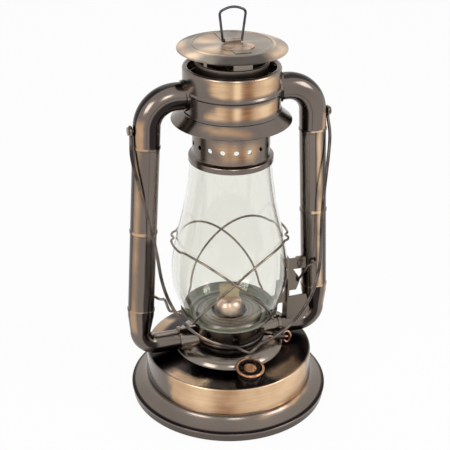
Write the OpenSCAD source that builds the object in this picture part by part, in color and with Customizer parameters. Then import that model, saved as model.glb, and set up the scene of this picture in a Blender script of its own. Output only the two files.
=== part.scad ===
// Hurricane lantern: a tank base, two side air tubes, a glass globe that lifts, a sprung hood and a bail.
// Millimetres, +Z up, origin on the floor at the centre of the base, front towards -Y, tubes along X.

/* [Base and tank] */
// Outer radius of the skirt's rolled edge
skirt_r = 95; // [90:0.5:104]
// Height of the skirt up to the band on the tank
skirt_h = 17; // [14:0.5:22]
// Height of the band where the skirt grips the tank
skirt_band = 2.5; // [1.5:0.5:4]
// Radius of the skirt's rolled edge
rim_bead = 1.2; // [1.2:0.1:1.6]
// Height of the foot band up to the middle of the rolled edge
rim_h = 7.2; // [5:0.2:9]
// Radius of the fuel tank
tank_r = 79.5; // [76:0.5:84]
// Height of the tank wall above the skirt
tank_h = 29.7; // [26:0.1:40]
// Height of the tank bottom above the floor
tank_floor = 7; // [4:0.5:10]
// Height of the turned-up edge of the tank bottom
tank_lip = 6; // [4:0.5:8]
// Slope of the tank top in degrees
top_slope = 8; // [5:0.5:10]
// Rounding of the tank shoulder
shoulder_r = 2; // [1.5:0.5:6]
// Thickness of the sheet metal
sheet = 1; // [0.8:0.1:1.2]

/* [Fuel filler] */
// Distance of the filler from the lantern's axis
filler_y = 63.5; // [63.5:0.5:65]
// Outer radius of the filler neck
filler_r = 9; // [7:0.5:9.5]
// Height of the filler neck above the tank
filler_h = 8; // [5:0.5:9]
// Width of the filler neck's flange
filler_flange = 1.5; // [1:0.1:1.6]
// Radius of the fuel cap's rim
fcap_r = 13.4; // [12.5:0.1:14]
// Width of the flat ring round the fuel cap's recess
fcap_ring = 2; // [1.5:0.1:2.5]
// Depth of the fuel cap's recessed top
fcap_recess = 1.8; // [1:0.1:2.5]
// Radius of the boss in the fuel cap's recess
fcap_boss = 6; // [4:0.5:8]
// Thickness of the fuel cap's gasket
gasket_t = 1.4; // [1:0.1:2]

/* [Air chamber and burner] */
// Radius of the air chamber's foot
dome_r = 52.5; // [50:0.5:52.5]
// Height of the air chamber
dome_h = 10; // [9:0.5:12]
// Distance of the side ports' mouths from the axis
port_x = 48; // [46:0.5:50]
// Wall of the side ports
port_wall = 1.2; // [0.8:0.1:1.6]
// Radius of the burner collar
collar_r = 32.5; // [31:0.5:33.5]
// Height of the burner collar above the tank
collar_h = 30.8; // [29:0.2:34]
// Radius of the bead round the burner collar
collar_bead = 2; // [1.4:0.1:2.4]
// Width of the burner collar's top flange
collar_flange = 3; // [2:0.5:4]
// Number of air slots in the burner collar
slot_n = 8; // [6:1:10]
// Width of an air slot
slot_w = 4.6; // [3:0.2:6]
// Height of an air slot
slot_h = 7; // [5:0.5:9]
// Outer radius of the burner body
burner_r = 19.5; // [18:0.5:21]
// Height of the burner body above the tank
burner_h = 16; // [14:0.5:17]
// Wall of the burner body
burner_wall = 1.5; // [1.2:0.1:2]
// Radius of the burner cone
cone_r = 14.2; // [13.5:0.1:15]
// Height of the burner cone above the burner body
cone_h = 34; // [32:0.5:36]
// Width of the wick
wick_w = 19; // [16:0.5:20]
// Thickness of the wick
wick_t = 2.6; // [2:0.1:3.2]
// Length of wick that stands out of the cone
wick_out = 13; // [8:0.5:18]
// Direction of the wick raiser's rod, in degrees from +X
raiser_az = -17; // [-24:1:-14]
// Height of the wick raiser's rod above the tank
raiser_h = 7.6; // [7.4:0.1:8.4]
// Radius of the wick raiser's rod
raiser_rod_r = 1.2; // [1:0.1:1.4]
// Tip radius of the spur wheel
spur_r = 4; // [3.5:0.1:4.5]
// Number of teeth on the spur wheel
spur_n = 12; // [10:1:16]
// Radius of the raiser's thumb loop
loop_r = 6; // [4.5:0.5:6]

/* [Globe] */
// Height of the glass globe
globe_h = 162.5; // [150:0.5:175]
// Radius at the globe's widest place
globe_max_r = 54.6; // [53:0.2:55.4]
// Height of the widest place above the globe's foot
globe_belly = 46; // [40:1:52]
// Radius of the globe's foot
globe_foot_r = 38.6; // [38:0.2:40]
// Radius of the globe's mouth
globe_top_r = 36.6; // [35.5:0.2:37]
// Thickness of the glass
glass_t = 2.4; // [2:0.1:3]
// Radius of the globe plate's rim
plate_r = 46.3; // [45.5:0.1:48]
// Height of the globe plate's rim above its seat
plate_rim_h = 7.6; // [6:0.2:9]
// Radius of the hole in the globe plate round the burner cone
plate_hole_r = 17; // [16:0.5:19]
// Radius of the guard wires
guard_wire = 1.1; // [0.9:0.1:1.3]
// Turn of the guard about the axis, in degrees
guard_turn = -10; // [-14:1:-6]
// Half of the gap between the two ends of a guard wire, in degrees
guard_gap = 36; // [30:1:42]
// Height of the guard wires' crossings above the globe's foot
guard_cross = 60; // [56:0.2:62]
// Height that the left guard wire crosses above the right one
guard_step = 3; // [0:0.2:4]
// Rise of a guard wire from its crossings to its high side
guard_rise = 20; // [16:0.5:24]
// Clearance between a guard wire and the glass
guard_clear = 0.6; // [0.5:0.1:1]

/* [Globe lift] */
// Travel of the globe when the lever is pressed
globe_lift = 14; // [10:0.5:14]
// Distance of the lift guide from the axis
guide_x = 57.2; // [57.2:0.1:58]
// Width of the lift guide
guide_w = 13; // [12:0.5:15]
// Height of the lift guide's top above the globe plate
guide_up = 53; // [48:0.5:56]
// Depth of the lift guide's side flanges at the lever's axle
guide_flange = 11.6; // [11.5:0.1:13.5]
// Width of the slot that the slider runs in
guide_slot = 7; // [6.4:0.1:7.6]
// Width of the gusset plate
gusset_t = 1.6; // [1.2:0.1:2]
// Radius of the lever's wire
lever_wire = 1.1; // [0.9:0.1:1.2]
// Radius of the lever's inner crank
crank_r = 12; // [11:0.1:12.5]
// Length of the lever's handle along X
handle_x = 14.5; // [12:0.5:18]
// Rise of the lever's handle
handle_z = 21.5; // [18:0.5:24]
// Radius of the ball at the end of the handle
ball_r = 2; // [1.6:0.1:2.6]
// Radius of the left guide wire
guide_wire_r = 1.3; // [1.1:0.1:1.5]
// Height of the guide wire's hook above the globe plate
hook_up = 27; // [24:0.5:30]

/* [Hood] */
// Outer radius of the perforated neck
neck_r = 34.8; // [34.5:0.1:35]
// Radius of the neck's foot and of the globe holder
holder_r = 38.3; // [38.2:0.1:39]
// Overlap of the globe holder over the glass
holder_lip = 2.2; // [1.5:0.1:3]
// Height of the flared foot of the neck
neck_flare = 4; // [3:0.5:5]
// Number of holes round the neck
hole_n = 18; // [14:1:20]
// Radius of a hole in the neck
hole_r = 2.2; // [1.6:0.1:2.6]
// Height of the holes above the globe's mouth
hole_up = 16.4; // [13:0.2:20]
// Radius of the inner chimney
flue_r = 31.4; // [30.5:0.1:31.5]
// Width of the ring round the inner chimney
flue_ring = 1.2; // [0.8:0.1:2]
// Height of the ring round the inner chimney
flue_ring_h = 3.2; // [2.4:0.1:3.4]
// Number of vent windows on each side of the inner chimney
vent_n = 3; // [2:1:3]
// Width of a vent window
vent_w = 24; // [20:0.5:25]
// Height of a vent window
vent_h = 10; // [8:0.5:11]
// Radius of the cap
cap_r = 48; // [46:0.5:52]
// Height of the cap's rim above the drum
cap_gap = 14.4; // [12:0.1:16]
// Height of the cap's rounded edge
cap_edge = 1.4; // [1.2:0.1:2]
// Rise of the cap from its edge to its flat top
cap_rise = 3.2; // [3:0.1:6]
// Radius of the ridge round the cap's flat top
cap_ridge_r = 34.8; // [34:0.1:38]
// Radius of the ridge's bead
cap_bead = 1; // [0.8:0.1:1.4]
// Length of the bridge on the cap
bridge_l = 14; // [13:0.5:18]
// Radius of the bridge's barrel
bridge_r = 2.2; // [2:0.1:2.8]
// Radius of the lift ring's wire
ring_wire = 1.1; // [0.9:0.1:1.3]
// Width of the lift ring
ring_w = 22.6; // [20:0.2:26]
// Height of the lift ring above the bridge
ring_h = 29; // [25:0.5:32]
// Radius of the hood spring's wire
spring_wire = 0.8; // [0.6:0.1:0.9]
// Number of turns of the hood spring
spring_turns = 3; // [2:1:3]

/* [Canopy and tubes] */
// Radius of the chimney drum
drum_r = 43.2; // [42.5:0.1:45]
// Height of the chimney drum
drum_h = 41; // [40:0.5:44]
// Gap from the globe's mouth up to the canopy flange's edge
flange_up = 36.5; // [36:0.5:40]
// Radius of the canopy flange
flange_r = 53.6; // [52:0.2:56]
// Height of the canopy flange's cone
flange_h = 8; // [6:0.5:10]
// Radius of the bead round the drum
drum_bead = 1; // [0.8:0.1:1.2]
// Height of the bead above the drum's bottom
bead_up = 20.8; // [19:0.2:22]
// Radius of the drum's rolled top edge
drum_lip = 2.4; // [2.2:0.1:2.8]
// Radius of the side tubes
tube_r = 12.2; // [11.6:0.1:12.4]
// Distance of the tubes from the axis at their top joints
tube_x = 77.5; // [77:0.5:80]
// Splay of the tubes in degrees
tube_splay = 3.06; // [2:0.02:3.2]
// Height of the upper elbows' inlet above the drum's bottom
inlet_up = 16.7; // [16.4:0.1:18]
// Bend radius of the upper elbows
elbow_bend = 26; // [24:0.5:28]
// Height of the top joints below the inlets
joint_drop = 41.5; // [40:0.1:45]
// Length of the upper tubes
upper_tube = 82; // [70:1:90]
// Length of the lower elbows' straight ends
low_straight = 25; // [20:0.5:28]
// Radius of the lower elbows at the ports
low_r = 9.6; // [9:0.1:10]
// Bend radius of the lower elbows
low_bend = 16; // [14:0.5:16]
// Height of a crimp bead
crimp = 0.6; // [0.4:0.1:0.7]
// Depth that one tube goes into the next
spigot = 7; // [5:0.5:9]
// Width of the collars round the lower elbows' ends
collar_w = 2.6; // [2:0.1:3]
// Width and thickness of the saddles round the upper elbows' ends
saddle = 1.5; // [1:0.1:2]

/* [Bail] */
// Radius of the bail's wire
bail_wire = 1.5; // [1.2:0.1:1.6]
// Height of the bail's studs above the top joints
stud_up = 14; // [12:0.5:14.5]
// Radius of the studs
stud_r = 2; // [1.6:0.1:2.4]
// Length of the bail from its studs to its point
bail_l = 213.4; // [205:0.2:216]
// Lean of the resting bail from straight down, in degrees
bail_lean = 16.8; // [16.8:0.1:20]
// Half width of the bail at its corners
bail_corner_x = 76.8; // [74:0.2:80]
// Distance of the bail's corners from the studs
bail_corner_s = 122; // [118:0.5:126]
// Half width of the bail's point
point_x = 12; // [9:0.5:16]
// Depth of the bail's point
point_s = 7; // [5:0.5:9]

/* [Clearances] */
// Gap between fixed pieces that seat on each other
seat = 0.05; // [0.03:0.01:0.08]
// Gap between pieces that move past each other
run = 0.35; // [0.3:0.01:0.4]
// Gap round a turning pin
pin_gap = 0.05; // [0.03:0.01:0.08]

/* [Hidden] */
$fn = 96;

// Lesser sizes
skirt_edge = 1.5;
skirt_run = 6;
skirt_slope = 24;
skirt_flare = 3;
dome_round = 0.45;
bush_r = 3;
bush_l = 10.5;
slot_az = -98;
slot_drop = 5.5;
burner_deep = 6;
socket_rim = 3;
tube_gap = 0.5;
tube_down = 13;
tube_drop = 7;
wick_clear = 4;
draft_drop = 3;
draft_n = 16;
draft_hole = 2.2;
cone_round = 0.7;
spur_w = 4;
crimp_w = 3;
// A bend is a hair thinner than the straight stretches, which lap over its ends
hair = 0.04;
lap = 0.4;
stud_rim = 1.6;
stud_in = 2;
stud_head = 0.8;
lip_turn = 190;
bail_clear = 2;
bail_bow = 20;
eye_run = 6;
plate_step = 3;
rim_past = 4;
rim_foot = 0.6;
guard_rings = 96;
notch_from = 158;
notch_at = 174;
notch_to = 212;
kink = 6;
swing = 2.5;
hook_from = 60;
hook_steps = 16;
hook_reach = 6;
hook_drop = 11;
hook_pull = 4;
hook_sag = 3.5;
axle_in = 9.3;
axle_up = 28.7;
flange_down = 10.6;
flange_rise = 12.4;
flange_foot = 8.6;
flange_head = 4.6;
gusset_up = 4.5;
rivet_r = 1.8;
rivet_head = 3.6;
rivet_tail = 2.7;
lug_t = 4;
slider_h = 4;
crank_play = 0.2;
handle_bend_x = 6.8;
handle_bend_z = 19.8;
holder_hole_r = 28;
flue_ring_up = 1.1;
vent_in = 8;
vent_step = 52;
bridge_strap = 0.5;
bridge_reach = 31;
ring_pin = 5.5;
ring_corner = 7.5;
ring_round = 3;
ring_crown = 2;
leg_out = 38;
leg_in = 2.7;
leg_run = 42;
corner_run = 50;
corner_in = 7.4;
bail_mid_x = 45;
point_pull = 4.8;
point_turn = 3;
// Pull of the globe's curve at its foot, belly and mouth
foot_flare = 0.52 * (globe_max_r - globe_foot_r);
foot_rise = 0.26 * globe_belly;
belly_low = 0.41 * globe_belly;
belly_up = 0.31 * (globe_h - globe_belly);
mouth_flare = 0.22 * (globe_max_r - globe_top_r);
mouth_run = 0.52 * (globe_h - globe_belly);

// Levels from the floor up
shoulder_z = skirt_h + tank_h;
function top_z(r) = shoulder_z - shoulder_r * (1 - cos(top_slope))
    + (tank_r - shoulder_r * (1 - sin(top_slope)) - r) * tan(top_slope);
flat_r = dome_r + sheet / 2;
flat_z = top_z(flat_r);
dome_z = flat_z + seat;
collar_top = flat_z + collar_h;
plate_z = collar_top + run;
globe_z = plate_z + sheet + seat;
mouth_z = globe_z + globe_h;
holder_z = mouth_z + run;
flange_z = mouth_z + flange_up;
drum_z = flange_z + flange_h;
drum_top = drum_z + drum_h;
inlet_z = drum_z + inlet_up;
joint_z = inlet_z - joint_drop;
stud_z = joint_z + stud_up;
low_z = flat_z + low_r + run;
floor_top = drum_z + sheet;
seat_z = floor_top + run;
neck_top = seat_z - seat;
cap_z = drum_top + cap_gap;
cap_flat_z = cap_z + cap_edge + cap_rise;
bridge_z = cap_flat_z + seat + bridge_r;

// Places along X
function tube_at(z) = tube_x + (joint_z - z) * tan(tube_splay);
stud_tip = tube_at(stud_z) + tube_r;
eye_r = stud_r + pin_gap + 2 * bail_wire;
eye_x = tube_at(stud_z - eye_r) + tube_r + run + bail_wire;
bail_x = tube_at(joint_z) + tube_r + crimp + run + bail_wire;

// Shape helpers
function unit(v) = v / norm(v);
function left_of(v) = [-v[1], v[0]];
function seg(p, i) = unit(p[i + 1] - p[i]);
function miter(p, i) =
    let (a = i > 0 ? seg(p, i - 1) : seg(p, i),
         b = i < len(p) - 1 ? seg(p, i) : a,
         m = left_of(a) + left_of(b))
    m * 2 / (m * m);
// Outline of a wall of thickness t on the left of an open profile
function wall(p, t) = concat(p, [for (i = [len(p) - 1:-1:0]) p[i] + miter(p, i) * t]);
function arc(c, r, a, b, n = 6) = [for (i = [0:n]) let (t = a + (b - a) * i / n) c + r * [cos(t), sin(t)]];
function bez(a, b, c, d, n = 12) = [for (i = [0:n]) let (t = i / n, s = 1 - t)
    a * s * s * s + b * 3 * s * s * t + c * 3 * s * t * t + d * t * t * t];
function tail(p) = [for (i = [1:len(p) - 1]) p[i]];

module turned(points) rotate_extrude() polygon(points);
module tube(r, wall, h) difference() {
    cylinder(r = r, h = h);
    translate([0, 0, -1]) cylinder(r = r - wall, h = h + 2);
}
module along_x() rotate([0, 90, 0]) children();
module along_y() rotate([-90, 0, 0]) children();
module side(s) if (s < 0) mirror([1, 0, 0]) children(); else children();

// Round bar through the given points, with a ball at its start and at each bend
module rod(points, r) {
    for (i = [0:len(points) - 2]) {
        d = points[i + 1] - points[i];
        translate(points[i])
            rotate([0, acos(d[2] / norm(d)), atan2(d[1], d[0])])
                cylinder(r = r, h = norm(d), $fn = 32);
    }
    for (i = [0:len(points) - 2]) translate(points[i]) sphere(r = r + hair, $fn = 32);
}

// Tube swept along a path, one reference direction for each point
module swept(path, refs, r, sides) {
    n = len(path);
    rings = [for (i = [0:n - 1]) let (
            t = unit(path[min(i + 1, n - 1)] - path[max(i - 1, 0)]),
            u = unit(refs[i] - t * (t * refs[i])),
            v = cross(t, u))
        for (k = [0:sides - 1]) path[i] + r * (cos(360 * k / sides) * u + sin(360 * k / sides) * v)];
    skin = [for (i = [0:n - 2]) for (k = [0:sides - 1]) let (
            a = i * sides + k,
            b = i * sides + (k + 1) % sides)
        each [[a, a + sides, b], [b, a + sides, b + sides]]];
    ends = [for (k = [1:sides - 2]) each [[0, k, k + 1],
        [(n - 1) * sides, (n - 1) * sides + k + 1, (n - 1) * sides + k]]];
    polyhedron(points = rings, faces = concat(skin, ends));
}

// Base and tank
module base_skirt() color("dimgray") {
    band_r = skirt_r - rim_bead;
    grip_r = tank_r + seat + sheet;
    slope = bez([band_r - skirt_edge, rim_h + rim_bead + skirt_edge * tan(skirt_slope)],
        [band_r - skirt_run, rim_h + rim_bead + skirt_run * tan(skirt_slope)],
        [grip_r + skirt_flare / 2, skirt_h - skirt_flare], [grip_r, skirt_h]);
    turned(wall(concat([[band_r, 0]], arc([band_r, rim_h], rim_bead, -90, 90), slope,
        [[grip_r, skirt_h + skirt_band]]), sheet));
}
module tank_profile() {
    c = [tank_r - shoulder_r, shoulder_z - shoulder_r];
    outer = concat([[tank_r, tank_floor]], arc(c, shoulder_r, 0, 90 - top_slope),
        [[flat_r, flat_z], [burner_r + seat + burner_wall, flat_z]]);
    turned(wall(outer, sheet));
}
module on_filler() translate([0, -filler_y, top_z(filler_y)]) rotate([top_slope, 0, 0]) children();
module tank_shell() color("dimgray") difference() {
    tank_profile();
    on_filler() translate([0, 0, -filler_h]) cylinder(r = filler_r + seat, h = 2 * filler_h);
}
module tank_bottom() color("gray") {
    r = tank_r - sheet - seat;
    turned([[0, tank_floor], [r, tank_floor], [r, tank_floor + tank_lip], [r - sheet, tank_floor + tank_lip],
        [r - sheet, tank_floor + sheet], [0, tank_floor + sheet]]);
}

// Fuel filler, its gasket and cap, drawn on the filler's own axis
gasket_z = filler_h + pin_gap;
fcap_ceiling = gasket_z + gasket_t + pin_gap;
fcap_floor = fcap_ceiling + sheet;
fcap_top = fcap_floor + fcap_recess;
fcap_low = seat + sheet + run;
module filler_neck() color("dimgray") on_filler() difference() {
    union() {
        translate([0, 0, -3 * sheet]) cylinder(r = filler_r, h = filler_h + 3 * sheet);
        translate([0, 0, seat]) cylinder(r = filler_r + filler_flange, h = sheet);
    }
    translate([0, 0, -filler_h]) cylinder(r = filler_r - sheet, h = 3 * filler_h);
}
module cap_gasket() color("black") on_filler() translate([0, 0, gasket_z])
    cylinder(r = filler_r, h = gasket_t);
module fuel_cap() color("darkgoldenrod") on_filler() {
    bore = filler_r + pin_gap;
    neck = bore + sheet;
    turned(concat([[0, fcap_ceiling], [bore, fcap_ceiling], [bore, fcap_low], [neck, fcap_low],
        [neck, fcap_low + 2 * sheet], [fcap_r, fcap_ceiling - sheet], [fcap_r, fcap_top - sheet]],
        arc([fcap_r - sheet, fcap_top - sheet], sheet, 0, 90),
        [[fcap_r - fcap_ring - sheet, fcap_top], [fcap_r - fcap_ring - sheet, fcap_floor],
        [fcap_boss + sheet, fcap_floor], [fcap_boss, fcap_top - sheet], [0, fcap_top - sheet]]));
}

// Air chamber and burner collar
dome_top = dome_z + dome_h;
bead_z = dome_top + seat + collar_bead;
module ports(r, from, to) for (s = [-1, 1]) side(s)
    translate([from, 0, low_z]) along_x() cylinder(r = r, h = to - from);
module under_tank() translate([0, 0, dome_z - 2 * low_r]) cylinder(r = tank_r, h = 2 * low_r);
module on_raiser() rotate([0, 0, raiser_az])
    translate([0, -(wick_t / 2 + pin_gap + spur_r), flat_z + raiser_h]) along_x() children();
dome_curve = bez([dome_r, dome_z], [dome_r - sheet, dome_z + dome_h * dome_round],
    [collar_r + seat + dome_h, dome_top], [collar_r + seat, dome_top]);
module air_chamber() color("dimgray") difference() {
    union() {
        turned(wall(dome_curve, sheet));
        ports(low_r + seat + port_wall, 0, port_x);
    }
    ports(low_r + seat, -1, tank_r);
    cylinder(r = collar_r + seat, h = mouth_z);
    translate([0, 0, dome_top]) cylinder(r = collar_r + collar_bead + seat, h = 2 * collar_bead + 3 * seat);
    on_raiser() cylinder(r = bush_r + seat, h = tank_r);
    under_tank();
}
module burner_collar() color("dimgray") {
    slot_z = collar_top - slot_drop - slot_h;
    difference() {
        union() {
            translate([0, 0, dome_z]) cylinder(r = collar_r, h = collar_top - dome_z);
            translate([0, 0, bead_z]) rotate_extrude() translate([collar_r - seat, 0])
                circle(r = collar_bead, $fn = 32);
            translate([0, 0, collar_top - sheet]) cylinder(r = collar_r + collar_flange, h = sheet);
        }
        translate([0, 0, dome_z - 1]) cylinder(r = collar_r - sheet, h = collar_h + 2);
        for (i = [0:slot_n - 1]) rotate([0, 0, slot_az + 360 * i / slot_n])
            translate([collar_r - 3 * sheet, -slot_w / 2, slot_z]) cube([4 * sheet, slot_w, slot_h]);
        on_raiser() cylinder(r = raiser_rod_r + run, h = tank_r);
        ports(low_r - 2 * sheet, 0, port_x);
    }
}

// Burner
burner_top = flat_z + burner_h;
burner_low = flat_z - burner_deep;
cone_top = burner_top + cone_h;
wick_low = tank_floor + sheet + wick_clear;
tube_w = wick_w + 2 * tube_gap + 2 * sheet;
tube_t = wick_t + 2 * tube_gap + 2 * sheet;
module on_wick() rotate([0, 0, raiser_az]) children();
module block(w, t, low, top) translate([-w / 2, -t / 2, low]) cube([w, t, top - low]);
module burner_socket() color("darkgoldenrod") {
    r = burner_r + seat;
    out = r + burner_wall - seat;
    rim = out + socket_rim;
    turned([[r, burner_low + sheet], [out, burner_low + sheet], [out, flat_z + seat], [rim, flat_z + seat],
        [rim, flat_z + seat + sheet], [r, flat_z + seat + sheet]]);
}
module burner_body() color("darkgoldenrod") difference() {
    translate([0, 0, burner_low]) cylinder(r = burner_r, h = burner_top - burner_low);
    translate([0, 0, burner_low + burner_wall])
        cylinder(r = burner_r - burner_wall, h = burner_top - burner_low - 2 * burner_wall);
    on_wick() block(tube_w + 2 * seat, tube_t + 2 * seat, burner_low - 1, burner_top + 1);
    on_raiser() translate([0, 0, -tank_r]) cylinder(r = raiser_rod_r + pin_gap, h = 2 * tank_r, $fn = 32);
}
module wick_tube() color("goldenrod") on_wick() difference() {
    block(tube_w, tube_t, burner_low - tube_down, cone_top - tube_drop);
    block(wick_w + 2 * tube_gap, wick_t + 2 * tube_gap, 0, cone_top);
    translate([-spur_r, -burner_r, flat_z + raiser_h - spur_r - run])
        cube([2 * spur_r, burner_r, 2 * spur_r + 2 * run]);
}
module draft_plate() color("gray") difference() {
    ring = collar_r - sheet - seat;
    translate([0, 0, burner_top - draft_drop]) tube(ring, ring - burner_r - seat, sheet);
    for (i = [0:draft_n - 1]) rotate([0, 0, 360 * i / draft_n])
        translate([(ring + burner_r) / 2, 0, burner_low]) cylinder(r = draft_hole, h = collar_h, $fn = 24);
}
function cone_dome(r, top) =
    bez([r, cone_top - cone_r], [r, top - cone_r / 3], [r * cone_round, top], [0, top]);
module burner_cone() color("peru") {
    low = burner_top + seat;
    difference() {
        turned(concat([[0, low], [burner_r, low], [burner_r, low + sheet], [cone_r, low + sheet]],
            cone_dome(cone_r, cone_top)));
        turned(concat([[0, burner_top], [cone_r - sheet, burner_top]],
            cone_dome(cone_r - sheet, cone_top - sheet)));
        on_wick() block(wick_w + 2 * tube_gap, wick_t + 2 * tube_gap, burner_top, cone_top + 1);
    }
}
module wick() color("wheat") on_wick() block(wick_w, wick_t, wick_low, cone_top + wick_out);

// Wick raiser, drawn along its rod
bush_in = dome_r - bush_l;
bush_out = dome_r + 2 * sheet;
loop_c = bush_out + run + raiser_rod_r;
module raiser_bush() color("dimgray") on_raiser() translate([0, 0, bush_in]) difference() {
    cylinder(r = bush_r, h = bush_out - bush_in);
    translate([0, 0, -1]) cylinder(r = raiser_rod_r + pin_gap, h = bush_l + 4 * sheet, $fn = 32);
}
module raiser_rod() color("peru") on_raiser() translate([0, 0, -burner_r])
    cylinder(r = raiser_rod_r, h = burner_r + loop_c + raiser_rod_r, $fn = 32);
module spur_wheel() color("goldenrod") on_raiser() difference() {
    points = [for (i = [0:2 * spur_n - 1]) let (r = i % 2 == 0 ? spur_r : spur_r - sheet)
        r * [cos(180 * i / spur_n), sin(180 * i / spur_n)]];
    translate([0, 0, -spur_w / 2]) linear_extrude(spur_w) polygon(points);
    translate([0, 0, -spur_w]) cylinder(r = raiser_rod_r + seat, h = 2 * spur_w, $fn = 32);
}
module thumb_loop() color("peru") on_raiser() translate([0, 0, loop_c]) difference() {
    union() {
        rotate_extrude() translate([loop_r, 0]) circle(r = raiser_rod_r, $fn = 24);
        translate([-loop_r, 0, 0]) along_x() cylinder(r = raiser_rod_r, h = 2 * loop_r, $fn = 24);
        translate([0, 0, -raiser_rod_r]) cylinder(r = 2 * raiser_rod_r, h = 2 * raiser_rod_r, $fn = 32);
    }
    translate([0, 0, -loop_r]) cylinder(r = raiser_rod_r + seat, h = 2 * loop_r, $fn = 32);
}

// Side tubes: the right one is drawn and the left one is its mirror
upper_low = -upper_tube;
low_start = (joint_z - low_z - low_bend * (1 + sin(tube_splay))) / cos(tube_splay);
lower_low = low_straight - low_start;
module on_joint(d = 0) translate([tube_x, 0, joint_z]) rotate([0, -tube_splay, 0])
    translate([0, 0, d]) children();
// Tube with a bead and a spigot at its top, and a socket or another spigot at its foot
module crimped(low, top, foot_spigot) {
    r = tube_r;
    bore = r - sheet;
    inner = bore - seat;
    crimp_low = top - crimp_w;
    outside = [[r, low], [r, crimp_low], [r + crimp, crimp_low + crimp], [r + crimp, top - crimp - seat],
        [r, top - seat], [inner, top - seat], [inner, top + spigot]];
    inside = [[inner - sheet, top + spigot], [inner - sheet, top - 2 * sheet], [bore, top - 4 * sheet]];
    foot = foot_spigot ? [[bore, low + 4 * sheet], [inner - sheet, low + 2 * sheet],
        [inner - sheet, low - spigot], [inner, low - spigot], [inner, low]] : [[bore, low]];
    turned(concat(outside, inside, foot));
}
module bead_ring() turned([[tube_r - sheet / 2, 0], [tube_r, 0], [tube_r + crimp, crimp],
    [tube_r + crimp, crimp_w - crimp], [tube_r, crimp_w], [tube_r - sheet / 2, crimp_w]]);
module upper_tube_right() on_joint() crimped(upper_low, 0, false);
module lower_tube_right() on_joint() crimped(lower_low, upper_low, true);
module right_upper_tube() color("dimgray") upper_tube_right();
module left_upper_tube() color("dimgray") side(-1) upper_tube_right();
module right_lower_tube() color("dimgray") lower_tube_right();
module left_lower_tube() color("dimgray") side(-1) lower_tube_right();

// Round bend in the XZ plane about a centre, from one angle on through another
module bend(c, r_bend, r, from, turn) translate([c[0], 0, c[1]]) rotate([90, 0, 0]) rotate([0, 0, from])
    rotate_extrude(angle = turn) translate([r_bend, 0]) circle(r = r, $fn = 64);

// Upper elbow: a straight stretch, a bend and a short run into the drum
rise_up = (joint_drop - elbow_bend * (1 - sin(tube_splay))) / cos(tube_splay);
bend_x = tube_x - rise_up * sin(tube_splay) - elbow_bend * cos(tube_splay);
inlet_end = drum_r - 2 * sheet;
module upper_bend(r, past) {
    on_joint(-past) cylinder(r = r, h = rise_up + past + lap);
    bend([bend_x, inlet_z - elbow_bend], elbow_bend, r - hair, tube_splay, 90 - tube_splay);
    translate([inlet_end - past, 0, inlet_z]) along_x() cylinder(r = r, h = bend_x - inlet_end + past + lap);
}
module upper_elbow_right() difference() {
    upper_bend(tube_r, 0);
    upper_bend(tube_r - sheet, 1);
    translate([tube_x, 0, stud_z]) along_x() cylinder(r = stud_r + seat, h = 2 * tube_r, $fn = 32);
}
module right_upper_elbow() color("dimgray") upper_elbow_right();
module left_upper_elbow() color("dimgray") side(-1) upper_elbow_right();

// Lower elbow: a socket, a taper, a bend and a run into the port
foot_x = tube_x - lower_low * sin(tube_splay);
foot_z = joint_z + lower_low * cos(tube_splay);
low_x = foot_x + low_straight * sin(tube_splay) - low_bend * cos(tube_splay);
socket = spigot + sheet;
low_end = port_x - spigot;
module lower_bend(big, small, past, up) {
    on_joint() turned([[0, -low_start - lap], [small, -low_start - lap], [small, -low_start],
        [big, lower_low - socket], [big, lower_low + up], [0, lower_low + up]]);
    bend([low_x, low_z + low_bend], low_bend, small - hair, -90, 90 + tube_splay);
    translate([low_end - past, 0, low_z]) along_x() cylinder(r = small, h = low_x - low_end + past + lap);
}
module lower_elbow_right() difference() {
    union() {
        lower_bend(tube_r, low_r, 0, 0);
        on_joint(lower_low - crimp_w) bead_ring();
    }
    lower_bend(tube_r - sheet, low_r - sheet, 1, 1);
}
module right_lower_elbow() color("dimgray") lower_elbow_right();
module left_lower_elbow() color("dimgray") side(-1) lower_elbow_right();
// Solid room that the right tube and its lower elbow take up
module right_side_solid(gap) {
    lower_bend(tube_r + gap, low_r + gap, gap, -lower_low);
    on_joint(lower_low - crimp_w - gap) cylinder(r = tube_r + crimp + gap, h = crimp_w + 2 * gap);
}
module port_collars() color("dimgray") difference() {
    ports(low_r + collar_w, port_x + seat, port_x + collar_w);
    ports(low_r + seat, port_x - 1, port_x + collar_w + 1);
    turned(concat([[0, dome_z]], [for (p = dome_curve) p + [seat, seat]], [[0, dome_top + seat]]));
    translate([0, 0, dome_h / 2]) under_tank();
}

// Chimney drum and the canopy flange that carries it
drum_low = floor_top + seat;
drum_bead_z = drum_z + bead_up;
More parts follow.
